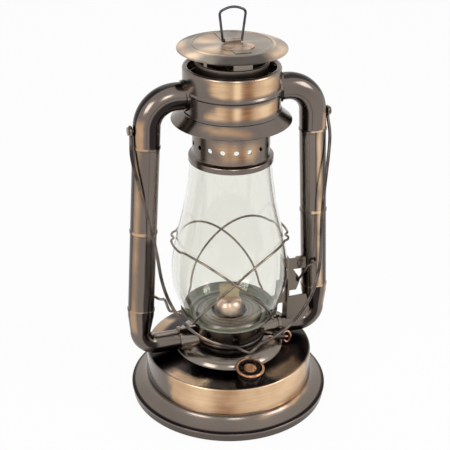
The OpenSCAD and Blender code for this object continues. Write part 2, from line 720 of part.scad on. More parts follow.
// Side of the drum from its foot up, with a bead at its foot and one round its middle
function drum_side(gap) = let (r = drum_r + gap, out = r + drum_bead, half = drum_bead / 2) [[out, drum_low],
    [out, drum_low + drum_bead], [r, drum_low + 2 * drum_bead], [r, drum_bead_z - 2 * drum_bead],
    [out, drum_bead_z - half], [out, drum_bead_z + half], [r, drum_bead_z + 2 * drum_bead]];
module chimney_drum() color("dimgray") {
    c = [drum_r - drum_lip, drum_top - drum_lip];
    outer = concat(drum_side(0), arc(c, drum_lip, 0, lip_turn, 12));
    difference() {
        turned(wall(outer, sheet));
        for (s = [-1, 1]) side(s) translate([0, 0, inlet_z]) along_x()
            cylinder(r = tube_r + seat, h = drum_r + drum_bead + sheet);
    }
}
module canopy_flange() color("dimgray")
    turned(wall([[flange_r, flange_z], [drum_r, floor_top], [neck_r + run, floor_top]], sheet));
module inlet_collars() color("dimgray") difference() {
    intersection() {
        for (s = [-1, 1]) side(s) translate([0, 0, inlet_z]) along_x()
            tube(tube_r + saddle, saddle - seat, drum_r + 2 * saddle);
        translate([0, 0, drum_low + seat]) cylinder(r = drum_r + drum_bead + saddle, h = drum_h);
    }
    turned(concat([[0, drum_low]], drum_side(seat), [[drum_r + seat, drum_top], [0, drum_top]]));
}

// Bail and the studs that it swings on
stud_end = eye_x + bail_wire + run;
module stud(s) side(s) translate([0, 0, stud_z]) along_x() {
    translate([0, 0, stud_tip - stud_in]) 
        cylinder(r = stud_r, h = stud_end + stud_head / 2 - stud_tip + stud_in, $fn = 32);
    translate([0, 0, stud_end]) cylinder(r = stud_r + stud_rim, h = stud_head, $fn = 48);
}
module right_stud() color("dimgray") stud(1);
module left_stud() color("dimgray") stud(-1);
bail_half = concat(
    bez([eye_x, stud_r + bail_wire], [eye_x, bail_bow - 2 * eye_run], [bail_x, bail_bow - eye_run],
        [bail_x, bail_bow], 5),
    tail(bez([bail_x, bail_bow], [bail_x, leg_out], [bail_corner_x + leg_in, bail_corner_s - leg_run],
        [bail_corner_x, bail_corner_s], 12)),
    tail(bez([bail_corner_x, bail_corner_s], [bail_corner_x - leg_in, bail_corner_s + corner_run],
        [bail_mid_x, bail_l - point_s - corner_in], [point_x, bail_l - point_s], 12)),
    tail(bez([point_x, bail_l - point_s], [point_x - point_pull, bail_l - point_s + point_turn],
        [point_turn, bail_l], [0, bail_l], 4)));
bail_last = len(bail_half) - 1;
bail_path = concat(bail_half, [for (i = [bail_last - 1:-1:0]) [-bail_half[i][0], bail_half[i][1]]]);
// The bail leans further out where its point would else come down on the fuel cap
fcap_high = top_z(filler_y) + fcap_top * cos(top_slope) + fcap_r * sin(top_slope);
bail_room = stud_z - fcap_high - bail_clear - bail_wire;
bail_tilt = max(bail_lean, acos(min(1, bail_room / bail_l)));
module bail() color("dimgray") {
    down = [0, -sin(bail_tilt), -cos(bail_tilt)];
    across = [0, -cos(bail_tilt), sin(bail_tilt)];
    swept([for (p = bail_path) [p[0], 0, stud_z] + p[1] * down], [for (p = bail_path) across], bail_wire, 10);
    for (s = [-1, 1]) side(s) translate([eye_x - bail_wire, 0, stud_z]) along_x()
        tube(eye_r, eye_r - stud_r - pin_gap, 2 * bail_wire);
}

// Globe, the plate that it stands on and its guard
belly_z = globe_z + globe_belly;
globe_side = concat(
    bez([globe_foot_r, globe_z], [globe_foot_r + foot_flare, globe_z + foot_rise],
        [globe_max_r, belly_z - belly_low], [globe_max_r, belly_z]),
    tail(bez([globe_max_r, belly_z], [globe_max_r, belly_z + belly_up],
        [globe_top_r + mouth_flare, mouth_z - mouth_run], [globe_top_r, mouth_z], 16)));
globe_table = [for (p = globe_side) [p[1], p[0]]];
module globe() color("lightcyan", 0.35) turned(wall(globe_side, glass_t));
rim_z = plate_z + plate_rim_h;
// The rim is left low in front, between the ends of the guard wires, where the glass shows
open_half = 90 - guard_gap - rim_past;
open_steps = 6;
function open_arc(r, way) = [for (i = [0:open_steps]) let (a = way * open_half * (2 * i / open_steps - 1))
    r * [cos(a), sin(a)]];
module globe_plate() color("dimgray") difference() {
    turned(wall([[plate_hole_r, plate_z + plate_step], [collar_r - plate_step - sheet, plate_z + plate_step],
        [collar_r - sheet, plate_z], [globe_foot_r + sheet, plate_z], [plate_r - sheet, rim_z - sheet],
        [plate_r, rim_z]], sheet));
    rotate([0, 0, guard_turn - 90]) translate([0, 0, plate_z + sheet + rim_foot])
        linear_extrude(plate_rim_h) polygon(concat(open_arc(globe_foot_r, 1), open_arc(2 * plate_r, -1)));
}
guard_low = rim_z - guard_wire;
function guard_bend(cross) = (globe_z + cross - guard_low - guard_rise * cos(guard_gap))
    / (1 + 2 * cos(guard_gap) + cos(2 * guard_gap));
function guard_z(a, cross) = let (b = guard_bend(cross))
    globe_z + cross - b - (guard_rise + 2 * b) * cos(a) - b * cos(2 * a);
// The wire swings out in two stretches, with a kink at each end of them
function ease(t) = let (u = min(1, max(0, t))) u * u * (3 - 2 * u);
function swung(a, from, to) = ease((a - from) / kink) * ease((to - a) / kink);
function guard_swing(a) = swing * (swung(a, notch_from, notch_at) + swung(a, notch_at, notch_to));
function guard_r(a, cross) = guard_wire + guard_swing(a)
    + max(lookup(guard_z(a, cross), globe_table) + guard_clear, plate_r + seat);
// Where the wires cross, one of them swells out to pass over the other
function guard_over(a) = (2 * guard_wire + seat) * pow(sin(a), 8);
module guard(low_az, cross, over) {
    angles = [for (i = [0:guard_rings]) guard_gap + (360 - 2 * guard_gap) * i / guard_rings];
    out = [for (a = angles) [cos(low_az + a), sin(low_az + a), 0]];
    swept([for (i = [0:guard_rings]) let (a = angles[i])
        out[i] * (guard_r(a, cross) + over * guard_over(a)) + [0, 0, guard_z(a, cross)]], out, guard_wire, 8);
}
module guard_wire_left() color("dimgray") guard(180 + guard_turn, guard_cross + guard_step, 0);
module guard_wire_right() color("dimgray") guard(guard_turn, guard_cross, 1);

// Guide wire: it hooks round the back of the left tube and slides along it
hook_z = plate_z + hook_up;
hook_shift = globe_lift * tan(tube_splay) / 2;
hook_x = tube_at(hook_z) - hook_shift;
hook_r = tube_r + run + hook_shift + guide_wire_r;
hook_turn = 150;
hook_c = [hook_x, 0, hook_z];
hook_q = [hook_x - hook_r - hook_reach, 0, hook_z - guide_wire_r];
hook_k = [plate_r + hook_drop, 0, rim_z + hook_sag];
hook_e = [plate_r + seat, 0, rim_z - guide_wire_r];
function on_hook(a) = hook_c + hook_r * [cos(a), sin(a), 0];
guide_path = concat(
    [for (i = [0:hook_steps]) on_hook(hook_from + (hook_turn - hook_from) * i / hook_steps)],
    tail(bez(on_hook(hook_turn), on_hook(hook_turn) + hook_reach * [-sin(hook_turn), cos(hook_turn), 0],
        hook_q + hook_pull * [1, 0, 0], hook_q, 6)),
    tail(bez(hook_q, hook_q - hook_pull * [1, 0, 0], hook_k + hook_pull * [1, 0, 0], hook_k, 10)),
    tail(bez(hook_k, hook_k - hook_pull * [1, 0, 0], hook_e + hook_pull * [1, 0, 0], hook_e, 8)));
module guide_wire() color("dimgray") side(-1)
    swept(guide_path, [for (p = guide_path) [0, 0, 1]], guide_wire_r, 8);

// Globe lift: guide, gusset, lug and rivet on the right tube
axle_x = guide_x + axle_in;
axle_z = plate_z + axle_up;
crank_a = asin(globe_lift / 2 / crank_r);
guide_top = plate_z + guide_up;
flange_low = axle_z - flange_down;
flange_high = axle_z + flange_rise;
module guide_side(y) translate([0, y, 0]) along_y() mirror([0, 1, 0]) linear_extrude(sheet) polygon([
    [guide_x, flange_low], [guide_x + flange_foot, flange_low],
    [guide_x + guide_flange, axle_z - 2 * lever_wire], [guide_x + guide_flange, axle_z + 2 * lever_wire],
    [guide_x + flange_head, flange_high], [guide_x, flange_high]]);
module lift_guide() color("dimgray") difference() {
    half = guide_w / 2;
    union() {
        translate([guide_x, -half, low_z]) cube([sheet, guide_w, guide_top - low_z]);
        guide_side(-half);
        guide_side(half - sheet);
        translate([guide_x, -half, flange_high]) cube([tube_x - guide_x, sheet, guide_top - flange_high]);
    }
    translate([guide_x - sheet, -guide_slot / 2, slot_low]) cube([3 * sheet, guide_slot, slot_top - slot_low]);
    translate([axle_x, -guide_w, axle_z]) along_y()
        cylinder(r = lever_wire + pin_gap, h = 2 * guide_w, $fn = 32);
    translate([rivet_x, -guide_w, rivet_z]) along_y() cylinder(r = rivet_r + seat, h = guide_w, $fn = 32);
    right_side_solid(seat);
}
module lift_gusset() color("dimgray") difference() {
    x = guide_x + sheet + seat;
    top = rim_z + gusset_up;
    translate([0, -guide_w / 2, 0]) along_y() mirror([0, 1, 0]) linear_extrude(gusset_t)
        polygon([[x, low_z], [tube_x, low_z], [foot_x, foot_z], [tube_at(top), top], [x, top - sheet]]);
    right_side_solid(seat);
}
rivet_x = tube_at(guide_top) - tube_r - rivet_tail - run;
rivet_z = (flange_high + guide_top) / 2;
lug_y = -guide_w / 2 + sheet + seat;
module lift_lug() color("dimgray") difference() {
    translate([rivet_x - 2 * rivet_r, lug_y, flange_high + sheet])
        cube([tube_x - rivet_x, lug_t, guide_top - flange_high - 2 * sheet]);
    translate([rivet_x, -guide_w, rivet_z]) along_y() cylinder(r = rivet_r + seat, h = 2 * guide_w, $fn = 32);
    right_side_solid(seat);
}
module lift_rivet() color("dimgray") translate([rivet_x, -guide_w / 2 - seat, rivet_z]) along_y() {
    cylinder(r = rivet_r, h = seat + sheet + seat + lug_t + seat, $fn = 32);
    translate([0, 0, -sheet]) cylinder(r1 = rivet_head - sheet / 2, r2 = rivet_head, h = sheet, $fn = 48);
    translate([0, 0, sheet + lug_t + 3 * seat]) cylinder(r = rivet_tail, h = sheet, $fn = 48);
}

// Slider on the globe plate, with a slot for the lever's crank pin
pin_x = axle_x - crank_r * cos(crank_a);
pin_z = axle_z - crank_r * sin(crank_a);
pin_room = lever_wire + run;
slider_in = axle_x - crank_r - pin_room - 2 * sheet;
slider_out = pin_x + pin_room + 2 * sheet;
slider_w = guide_slot - 2 * run;
slider_low = rim_z - slider_h;
slider_top = pin_z + pin_room + 2 * sheet;
slot_low = slider_low - run;
slot_top = slider_top + globe_lift + run;
module lift_slider() color("dimgray") difference() {
    union() {
        translate([plate_r + seat, -slider_w / 2, slider_low])
            cube([slider_out - plate_r - seat, slider_w, slider_h]);
        translate([slider_in, -slider_w / 2, slider_low])
            cube([slider_out - slider_in, slider_w, slider_top - slider_low]);
    }
    translate([slider_in + 2 * sheet, -slider_w, pin_z - pin_room - crank_play])
        cube([slider_out - slider_in - 4 * sheet, 2 * slider_w, 2 * (pin_room + crank_play)]);
    translate([slider_in + 2 * sheet, -pin_room, slider_low + slider_h])
        cube([slider_out - slider_in, 2 * pin_room, slider_top - slider_low]);
}

// Lever: an axle through the guide, a crank inside it and a handle in front of the tube
module lift_lever() color("dimgray") {
    front = -guide_w / 2 - run - lever_wire;
    handle_y = -tube_r - crimp - 2 * run - ball_r;
    elbow = [axle_x + handle_bend_x, handle_y, axle_z + handle_bend_z];
    tip = [axle_x + handle_x, handle_y, axle_z + handle_z];
    translate([axle_x, front, axle_z]) along_y()
        cylinder(r = lever_wire, h = guide_w / 2 + run - front, $fn = 32);
    translate([pin_x, -slider_w / 2, pin_z]) along_y() cylinder(r = lever_wire, h = slider_w, $fn = 32);
    translate([pin_x, 0, pin_z]) rotate([0, 90 - crank_a, 0])
        cylinder(r = lever_wire - 3 * hair, h = crank_r, $fn = 32);
    rod([[axle_x, front, axle_z], elbow, tip], lever_wire);
    translate(tip) sphere(r = ball_r, $fn = 48);
}

// Hood: globe holder, perforated neck, spring, inner chimney and cap
neck_low = holder_z + sheet + seat;
module globe_holder() color("dimgray") turned([[holder_hole_r, holder_z], [holder_r - sheet, holder_z],
    [holder_r - sheet, mouth_z - holder_lip], [holder_r, mouth_z - holder_lip], [holder_r, holder_z + sheet],
    [holder_hole_r, holder_z + sheet]]);
module hood_neck() color("dimgray") difference() {
    flare_mid = neck_low + neck_flare / 2;
    flare = bez([holder_r, neck_low + sheet], [holder_r, flare_mid], [neck_r, flare_mid],
        [neck_r, neck_low + neck_flare], 6);
    turned(wall(concat([[holder_r, neck_low]], flare, [[neck_r, neck_top]]), sheet));
    for (i = [0:hole_n - 1]) rotate([0, 0, -90 + 360 * (i + 0.5) / hole_n])
        translate([neck_r - 3 * sheet, 0, mouth_z + hole_up]) along_x()
            cylinder(r = hole_r, h = 4 * sheet, $fn = 24);
}
spring_r = drum_r - drum_lip - spring_wire - run;
spring_low = seat_z + sheet + seat + spring_wire;
spring_top = drum_top - drum_lip - 2 * spring_wire;
module spring_seat() color("gray") translate([0, 0, seat_z])
    tube(spring_r + spring_wire, spring_r + spring_wire - flue_r + 2 * sheet, sheet);
spring_rings = 24;
spring_pitch = (spring_top - spring_low) / spring_turns;
spring_path = [for (i = [0:spring_turns * spring_rings]) let (a = 360 * i / spring_rings)
    [spring_r * cos(a), spring_r * sin(a), spring_low + spring_pitch * a / 360]];
spring_gap = min([for (i = [0:len(spring_path) - 1 - spring_rings])
    norm(spring_path[i + spring_rings] - spring_path[i]) - 2 * spring_wire]);
module hood_spring() color("silver") {
    echo(str("hood spring, least gap between turns: ", spring_gap, " mm"));
    swept(spring_path, [for (p = spring_path) [p[0], p[1], 0]], spring_wire, 6);
}
flue_low = seat_z + sheet + seat;
flue_top = cap_flat_z - sheet - seat;
flue_ring_z = drum_top + flue_ring_up;
vent_z = flue_ring_z + flue_ring_h;
module inner_chimney() color("gray") difference() {
    inner = flue_r - sheet;
    outer = flue_r + flue_ring;
    chamfer = flue_ring / 3;
    turned([[inner, flue_low], [flue_r, flue_low], [flue_r, flue_ring_z], [outer, flue_ring_z + chamfer],
        [outer, vent_z - chamfer], [flue_r, vent_z], [flue_r, flue_top], [inner, flue_top]]);
    for (turn = [0, 180]) for (i = [0:vent_n - 1]) rotate([0, 0, turn + (i - (vent_n - 1) / 2) * vent_step])
        translate([flue_r - vent_in, -vent_w / 2, vent_z]) cube([vent_in + sheet, vent_w, vent_h]);
}
module hood_cap() color("dimgray") {
    inside = [[0, cap_flat_z - sheet], [cap_ridge_r, cap_flat_z - sheet], [cap_r - sheet, cap_z + cap_edge / 2],
        [cap_r - sheet, cap_z]];
    turned(concat([[cap_r, cap_z]], arc([cap_r - cap_edge / 2, cap_z + cap_edge / 2], cap_edge / 2, 0, 70, 4),
        arc([cap_ridge_r, cap_flat_z - cap_bead / 4], cap_bead, 10, 165, 8), [[0, cap_flat_z]], inside));
}
module cap_bridge() color("gray") difference() {
    foot_z = cap_flat_z + seat;
    union() {
        translate([-bridge_l / 2, 0, bridge_z]) along_x() cylinder(r = bridge_r, h = bridge_l);
        translate([-bridge_l / 2, -bridge_r, foot_z]) cube([bridge_l, 2 * bridge_r, bridge_z - foot_z]);
        translate([-bridge_l / 2, -bridge_reach, foot_z]) cube([bridge_l, 2 * bridge_reach, bridge_strap]);
    }
    translate([-bridge_l, 0, bridge_z]) along_x() cylinder(r = ring_wire + pin_gap, h = 2 * bridge_l, $fn = 32);
}
ring_ball = ring_wire + 3 * hair;
ring_x = bridge_l / 2 + run + ring_ball;
ring_side = ring_w / 2;
ring_top_x = ring_side - ring_round;
ring_half = concat([[ring_x, 0], [(ring_x + ring_side) / 2, (ring_h - ring_corner) / 2]],
    bez([ring_side, ring_h - ring_corner], [ring_side + ring_wire / 2, ring_h - ring_corner + ring_round],
        [ring_side - ring_wire / 2, ring_h - ring_round], [ring_top_x, ring_h - ring_crown], 6),
    tail(bez([ring_top_x, ring_h - ring_crown], [ring_top_x - ring_round, ring_h - ring_crown / 3],
        [ring_round, ring_h], [0, ring_h], 5)));
ring_last = len(ring_half) - 1;
ring_path = concat(ring_half, [for (i = [ring_last - 1:-1:0]) [-ring_half[i][0], ring_half[i][1]]]);
module lift_ring() color("slategray") translate([0, 0, bridge_z]) {
    swept([for (p = ring_path) [p[0], 0, p[1]]], [for (p = ring_path) [0, 1, 0]], ring_wire, 10);
    for (s = [-1, 1]) side(s) {
        translate([ring_x - ring_pin, 0, 0]) along_x() cylinder(r = ring_wire, h = ring_pin, $fn = 32);
        translate([ring_x, 0, 0]) sphere(r = ring_ball, $fn = 32);
    }
}

base_skirt();
tank_shell();
tank_bottom();
filler_neck();
burner_socket();
air_chamber();
burner_collar();
burner_body();
wick_tube();
draft_plate();
burner_cone();
raiser_bush();
left_lower_elbow();
right_lower_elbow();
left_lower_tube();
right_lower_tube();
left_upper_tube();
right_upper_tube();
left_upper_elbow();
right_upper_elbow();
port_collars();
inlet_collars();
chimney_drum();
canopy_flange();
left_stud();
right_stud();
lift_guide();
lift_gusset();
lift_lug();
lift_rivet();
globe_plate();
globe();
guard_wire_left();
guard_wire_right();
guide_wire();
lift_slider();
lift_lever();
globe_holder();
hood_neck();
spring_seat();
hood_spring();
inner_chimney();
hood_cap();
cap_bridge();
lift_ring();
bail();
raiser_rod();
spur_wheel();
thumb_loop();
wick();
cap_gasket();
fuel_cap();
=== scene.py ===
import math
import bmesh
import bpy
from mathutils import Matrix, Vector


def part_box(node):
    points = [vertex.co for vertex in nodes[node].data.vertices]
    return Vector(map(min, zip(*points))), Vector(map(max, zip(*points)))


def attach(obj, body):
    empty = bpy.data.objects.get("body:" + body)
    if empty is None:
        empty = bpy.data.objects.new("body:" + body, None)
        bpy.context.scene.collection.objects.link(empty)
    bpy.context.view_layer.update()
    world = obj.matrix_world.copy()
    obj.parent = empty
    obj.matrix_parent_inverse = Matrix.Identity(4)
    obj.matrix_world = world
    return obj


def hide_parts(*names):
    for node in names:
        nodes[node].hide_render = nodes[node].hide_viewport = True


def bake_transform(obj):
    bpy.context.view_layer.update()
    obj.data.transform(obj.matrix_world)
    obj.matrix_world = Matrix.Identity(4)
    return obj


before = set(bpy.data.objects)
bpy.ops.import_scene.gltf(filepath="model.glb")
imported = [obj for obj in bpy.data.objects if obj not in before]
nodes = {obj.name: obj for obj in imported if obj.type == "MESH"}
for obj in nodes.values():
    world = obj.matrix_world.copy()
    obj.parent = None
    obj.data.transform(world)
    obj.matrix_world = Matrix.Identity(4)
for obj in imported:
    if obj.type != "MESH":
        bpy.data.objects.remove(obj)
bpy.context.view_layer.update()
mm = 0.001
degree = 180 / math.pi
scene = bpy.context.scene
print("frame loaded:", len(nodes), "nodes")


def tint(red, green, blue):  # screen colour to the linear colour a socket takes
    parts = [c / 255 for c in (red, green, blue)]
    linear = [c / 12.92 if c < 0.04045 else ((c + 0.055) / 1.055) ** 2.4 for c in parts]
    return (*linear, 1.0)


class Sock:  # wraps one socket, so that shader maths reads as an expression
    def __init__(self, tree, out):
        self.tree = tree
        self.out = out

    def add(self, kind, settings={}, inputs={}, output=0):
        made = self.tree.nodes.new("ShaderNode" + kind)
        for name, value in settings.items():
            setattr(made, name, value)
        for name, value in inputs.items():
            if isinstance(value, Sock):
                self.tree.links.new(value.out, made.inputs[name])
            else:
                made.inputs[name].default_value = value
        return Sock(self.tree, made.outputs[output])

    def outs(self, *names):  # other outputs of the same node
        return [Sock(self.tree, self.out.node.outputs[name]) for name in names]

    def maths(self, operation, first, second=0.0):
        return self.add("Math", {"operation": operation}, {0: first, 1: second})

    def __add__(self, other):
        return self.maths("ADD", self, other)

    def __radd__(self, other):
        return self.maths("ADD", other, self)

    def __sub__(self, other):
        return self.maths("SUBTRACT", self, other)

    def __rsub__(self, other):
        return self.maths("SUBTRACT", other, self)

    def __mul__(self, other):
        return self.maths("MULTIPLY", self, other)

    def __truediv__(self, other):
        return self.maths("DIVIDE", self, other)

    def size(self):
        return self.maths("ABSOLUTE", self)

    def most(self, other):
        return self.maths("MAXIMUM", self, other)

    def ramp(self, low, high):  # 0 under low, 1 over high, eased between
        return self.add("MapRange", {"interpolation_type": "SMOOTHSTEP"},
                        {"Value": self, "From Min": low, "From Max": high})

    def within(self, low, high, feather):  # 1 from low to high, with soft ends
        return self.ramp(low - feather, low + feather) * (1 - self.ramp(high - feather, high + feather))

    def blend(self, first, second):  # colour between first and second by this mask
        return self.add("Mix", {"data_type": "RGBA"}, {0: self, 6: first, 7: second}, 2)

    def noise(self, scale, detail=2.0, rough=0.5):
        return self.add("TexNoise", {}, {"Vector": self, "Scale": scale, "Detail": detail,
                                         "Roughness": rough})

    def bump(self, strength, distance):  # a normal, from this as the height
        return self.add("Bump", {}, {"Height": self, "Strength": strength, "Distance": distance})


def newMaterial(name, settings={}):
    material = bpy.data.materials.new(name)
    material.use_nodes = True
    shader = material.node_tree.nodes["Principled BSDF"]
    for key, value in settings.items():
        shader.inputs[key].default_value = value
    coords = Sock(material.node_tree, shader.outputs[0]).add("TexCoord", output="Object")
    return material, shader, coords


def feed(shader, links):
    for key, value in links.items():
        value.tree.links.new(value.out, shader.inputs[key])


class Spot:  # where a point of the lantern is, in mm and degrees; back and front look alike
    def __init__(self, coords):
        self.coords = coords
        place = coords.add("SeparateXYZ", inputs={0: coords})
        self.x, self.y, self.z = [part / mm for part in place.outs(0, 1, 2)]
        facing = coords.outs("Normal")[0]
        self.faceUp = coords.add("SeparateXYZ", inputs={0: facing}, output=2)
        self.front = 0 - self.y.size()
        self.round = coords.maths("ARCTAN2", self.front, self.x) * degree
        self.out = coords.maths("SQRT", self.x * self.x + self.y * self.y)
        self.blotch = coords.noise(48.0, 2.0) - 0.5
        self.cloud = coords.noise(24.0, 1.0) - 0.5
        self.fleck = coords.noise(900.0, 2.0) - 0.5
        lie = coords.add("CombineXYZ", inputs={0: self.round / 26, 1: self.z * 1.5, 2: self.out * 1.5})
        self.brush = lie.noise(1.0, 3.0, 0.6) - 0.5  # long marks that run round the lantern

    def tubeRound(self, side):  # degrees round a side tube, 0 outwards and -180 inwards
        axis = tubes["joint"][0] + (tubes["joint"][1] - self.z) * math.tan(math.radians(tubes["splay"]))
        return self.coords.maths("ARCTAN2", self.front, self.x * side - axis) * degree

    def bendRound(self, side, centre, radius, way):  # the same round an elbow's bend and its two ends
        across = (self.x * side - centre[0]).most(0.0)
        along = ((self.z - centre[1]) * way).most(0.0)
        reach = self.coords.maths("SQRT", across * across + along * along)
        return self.coords.maths("ARCTAN2", self.front, reach - radius) * degree


# the antique finish: dark polished plating, brushed through to copper on the parts that stand out, with
# painted highlight stripes and places painted dark for shade and reflection
finish = {"gun": (tint(104, 95, 89), tint(127, 116, 108)),
          "copper": (tint(134, 88, 56), tint(240, 205, 166)), "paintedDark": tint(34, 28, 29),
          "gunRough": 0.18, "copperRough": 0.3, "grain": 0.04, "grainDepth": 0.0004}


def antiqueCopper(name, relief=None, paintedDark=None, gun=finish["gun"], gunRough=finish["gunRough"],
                  lathed=0.0, sheenStripes=()):
    material, shader, coords = newMaterial(name, {"Metallic": 1.0, "Anisotropic": lathed})
    spot = Spot(coords)
    streak = spot.brush if lathed else spot.fleck * 0.3
    sheen = 0.0
    for middle, half, gain in sheenStripes:  # painted highlights, and painted shade where the gain is below nought, in upright stripes
        sheen = sheen + spot.round.within(middle - half, middle + half, half) * gain
    shade = (spot.cloud * 0.9 + streak * 0.5 + sheen * 0.6 + 0.5).blend(*gun)
    rough = gunRough + spot.blotch * 0.05
    if relief:
        mask = relief(spot)
        copper = (streak * 0.5 + spot.blotch * 0.7 + sheen + 0.45).blend(*finish["copper"])
        shade = mask.blend(shade, copper)
        rough = rough + mask * (finish["copperRough"] - gunRough)
    # painted shade and painted dark reflections, laid over the plating
    if paintedDark:
        shade = paintedDark(spot).blend(shade, finish["paintedDark"])
    grain = (streak + spot.fleck * 0.3).bump(finish["grain"], finish["grainDepth"])
    feed(shader, {"Base Color": shade, "Roughness": rough, "Normal": grain})
    return material


def wobble(spot, degrees):  # ragged ends of the brushed places
    return spot.round + spot.blotch * degrees + spot.brush * degrees * 0.2


# brushed places, and places painted dark for shade and reflection; arcs are degrees round the lantern, -90
# in front, the rest is mm
drum = {"arc": (-134, -44), "bands": ((314, 328.5), (294.5, 306))}
neck = {"arc": (-134, -68), "band": (253, 268), "depth": 0.8}
flange = {"arc": (-130, -96), "ring": (46, 50.5), "depth": 0.75}
tank = {"wallArc": (-150, -34), "shoulder": 46, "leftArc": (-156, -124), "leftEdge": (63, 71),
        "rightArc": (-74, -40), "rightEdge": (60, 68), "copper": 0.55, "dark": 0.92}
skirt = {"wornArc": (-150, -60), "wornTo": (82, 88), "worn": 0.7, "lickArc": (-66, -44), "lickTo": (81, 84),
         "lick": 0.9, "groove": (7.9, 9.3), "footBand": (5.6, 6.4), "footDark": 0.45}
cap = {"ridge": (35.2, 37.4), "leftArc": (-168, -112), "leftRing": (14, 32), "brimRing": (40, 48),
       "brimArcs": ((-64, -14), (-176, -146)), "darkArc": (-132, -62), "darkFrom": (35.5, 38.5),
       "dullArc": (-84, -6), "dullTo": (30, 36)}


def drumRelief(spot):
    up = spot.z + spot.blotch * 4
    upper, lower = [up.within(*band, 2.2) for band in drum["bands"]]
    return wobble(spot, 44).within(*drum["arc"], 8) * upper.most(lower)


def neckRelief(spot):
    band = (spot.z + spot.blotch * 10).within(*neck["band"], 7)
    return wobble(spot, 40).within(*neck["arc"], 12) * band * neck["depth"]


def flangeRelief(spot):
    band = (spot.out + spot.blotch * 8).within(*flange["ring"], 2.5)
    return wobble(spot, 40).within(*flange["arc"], 10) * band * flange["depth"]


def tankTop(spot):  # brushed places on the tank's top
    edge = spot.out + spot.cloud * 16
    left = wobble(spot, 14).within(*tank["leftArc"], 5) * edge.ramp(*tank["leftEdge"])
    right = wobble(spot, 20).within(*tank["rightArc"], 6) * edge.ramp(*tank["rightEdge"])
    return left.most(right)


def tankRelief(spot):
    low = tank["shoulder"]
    sideWall = wobble(spot, 40).within(*tank["wallArc"], 8) * (1 - spot.z.ramp(low - 0.2, low + 0.6))
    return sideWall.most(tankTop(spot) * spot.z.ramp(low, low + 1) * tank["copper"])


# painted dark reflection over the tank's top, except on its brushed places
def tankPaintedReflection(spot):
    low = tank["shoulder"]
    return spot.z.ramp(low, low + 0.8) * (1 - tankTop(spot)) * tank["dark"]


def skirtRelief(spot):
    smudge = (spot.cloud * 3 + spot.brush).ramp(0.25, 0.8)
    out = spot.out + spot.blotch * 6
    nearTank = smudge * (1 - out.ramp(*skirt["wornTo"])) * wobble(spot, 20).within(*skirt["wornArc"], 14)
    lick = wobble(spot, 30).within(*skirt["lickArc"], 7) * (1 - out.ramp(*skirt["lickTo"]))
    return (nearTank * skirt["worn"]).most(lick * skirt["lick"])


def skirtPaintedShade(spot):  # painted shadow in the groove over the rolled edge, and the foot band painted darker
    foot = (1 - spot.z.ramp(*skirt["footBand"])) * skirt["footDark"]
    return spot.z.within(*skirt["groove"], 0.4).most(foot)


def capRelief(spot):
    out = spot.out + spot.blotch * 10
    ridge = spot.out.within(*cap["ridge"], 0.8) * (spot.cloud * 3 + 0.6).ramp(0.1, 1.0)
    left = wobble(spot, 40).within(*cap["leftArc"], 14) * out.within(*cap["leftRing"], 7)
    near, far = [wobble(spot, 40).within(*arc, 14) for arc in cap["brimArcs"]]
    brim = (near + far) * out.within(*cap["brimRing"], 4)
    return (ridge * 0.7).most(left * 0.6).most(brim * 0.7)


def capPaintedDark(spot):  # painted dark reflection on the front of the brim, and the top painted a little darker on the right front
    brim = wobble(spot, 30).within(*cap["darkArc"], 16) * spot.out.ramp(*cap["darkFrom"]) * 0.8
    dull = wobble(spot, 30).within(*cap["dullArc"], 12) * (1 - spot.out.ramp(*cap["dullTo"])) * 0.3
    return brim.most(dull)


# side tubes and elbows, with bands of painted dark reflection; arcs are degrees round the tube, 0 outwards
# and -180 inwards
tubes = {"joint": (77.5, 264.563), "splay": 3.06, "beads": (264.56, 182.7, 102.0),
         "upperBend": ((50.63, 280.06), 26), "lowerBend": ((71.55, 76.1), 16),
         "leftWorn": (-60, -24), "leftEdges": [(-18, 40, 0.8), (-25, -20, 1), (-93, -90, 0.4)],
         "leftLow": ((-121, -86), 0.85), "rightWorn": (-93, -69),
         "rightEdges": [(-162, -148, 1), (-100, -96, 0.8), (-62, 40, 0.8), (-128, -125, 0.4)],
         "rightLow": ((-150, -118), 0.6), "lowFrom": (172, 182)}
elbows = {"wornArc": (-62, -20), "leftWornTo": 289, "rightWornTo": 280,
          "leftUpper": [(-124, -86, 1), (-26, 40, 1), (-78, -75, 0.6)],
          "rightUpper": [(-158, -126, 1), (-112, -109, 0.7), (-40, 40, 0.9)],
          "lower": [(-122, -86, 1), (-22, 10, 0.6)], "lowerWorn": (-58, -24)}


def beadGlint(spot):  # copper on the crimped beads of the tubes, partly wear and partly a painted glint
    beads = [spot.z.within(z - 1.2, z + 1.2, 0.5) for z in tubes["beads"]]
    return beads[0].most(beads[1]).most(beads[2])


def tubeRelief(side, low, high):
    def relief(spot):
        around = spot.tubeRound(side) + spot.blotch * 10
        middle = (low + high) / 2
        stripe = around.within(middle - 9, middle + 9, (high - low) / 2 - 3)
        worn = stripe * (spot.cloud * 3 + 0.9).ramp(0.1, 1.1)
        bead = beadGlint(spot) * spot.tubeRound(side).within(low - 25, high + 4, 6)
        return (worn * 0.9).most(bead)
    return relief


# painted dark reflections in bands round a tube, and a painted dark band low down, less dark at the beads
def tubePaintedReflection(side, bands, lowBand, lowDepth):
    def paintedDark(spot):
        around = spot.tubeRound(side) + spot.fleck * 2
        lower = 1 - spot.z.ramp(*tubes["lowFrom"])
        dark = lower * (around + spot.blotch * 8).within(*lowBand, 4) * lowDepth
        for low, high, depth in bands:
            dark = dark.most(around.within(low, high, 2.5) * depth)
        return dark * (1 - beadGlint(spot) * 0.6) * 0.92
    return paintedDark


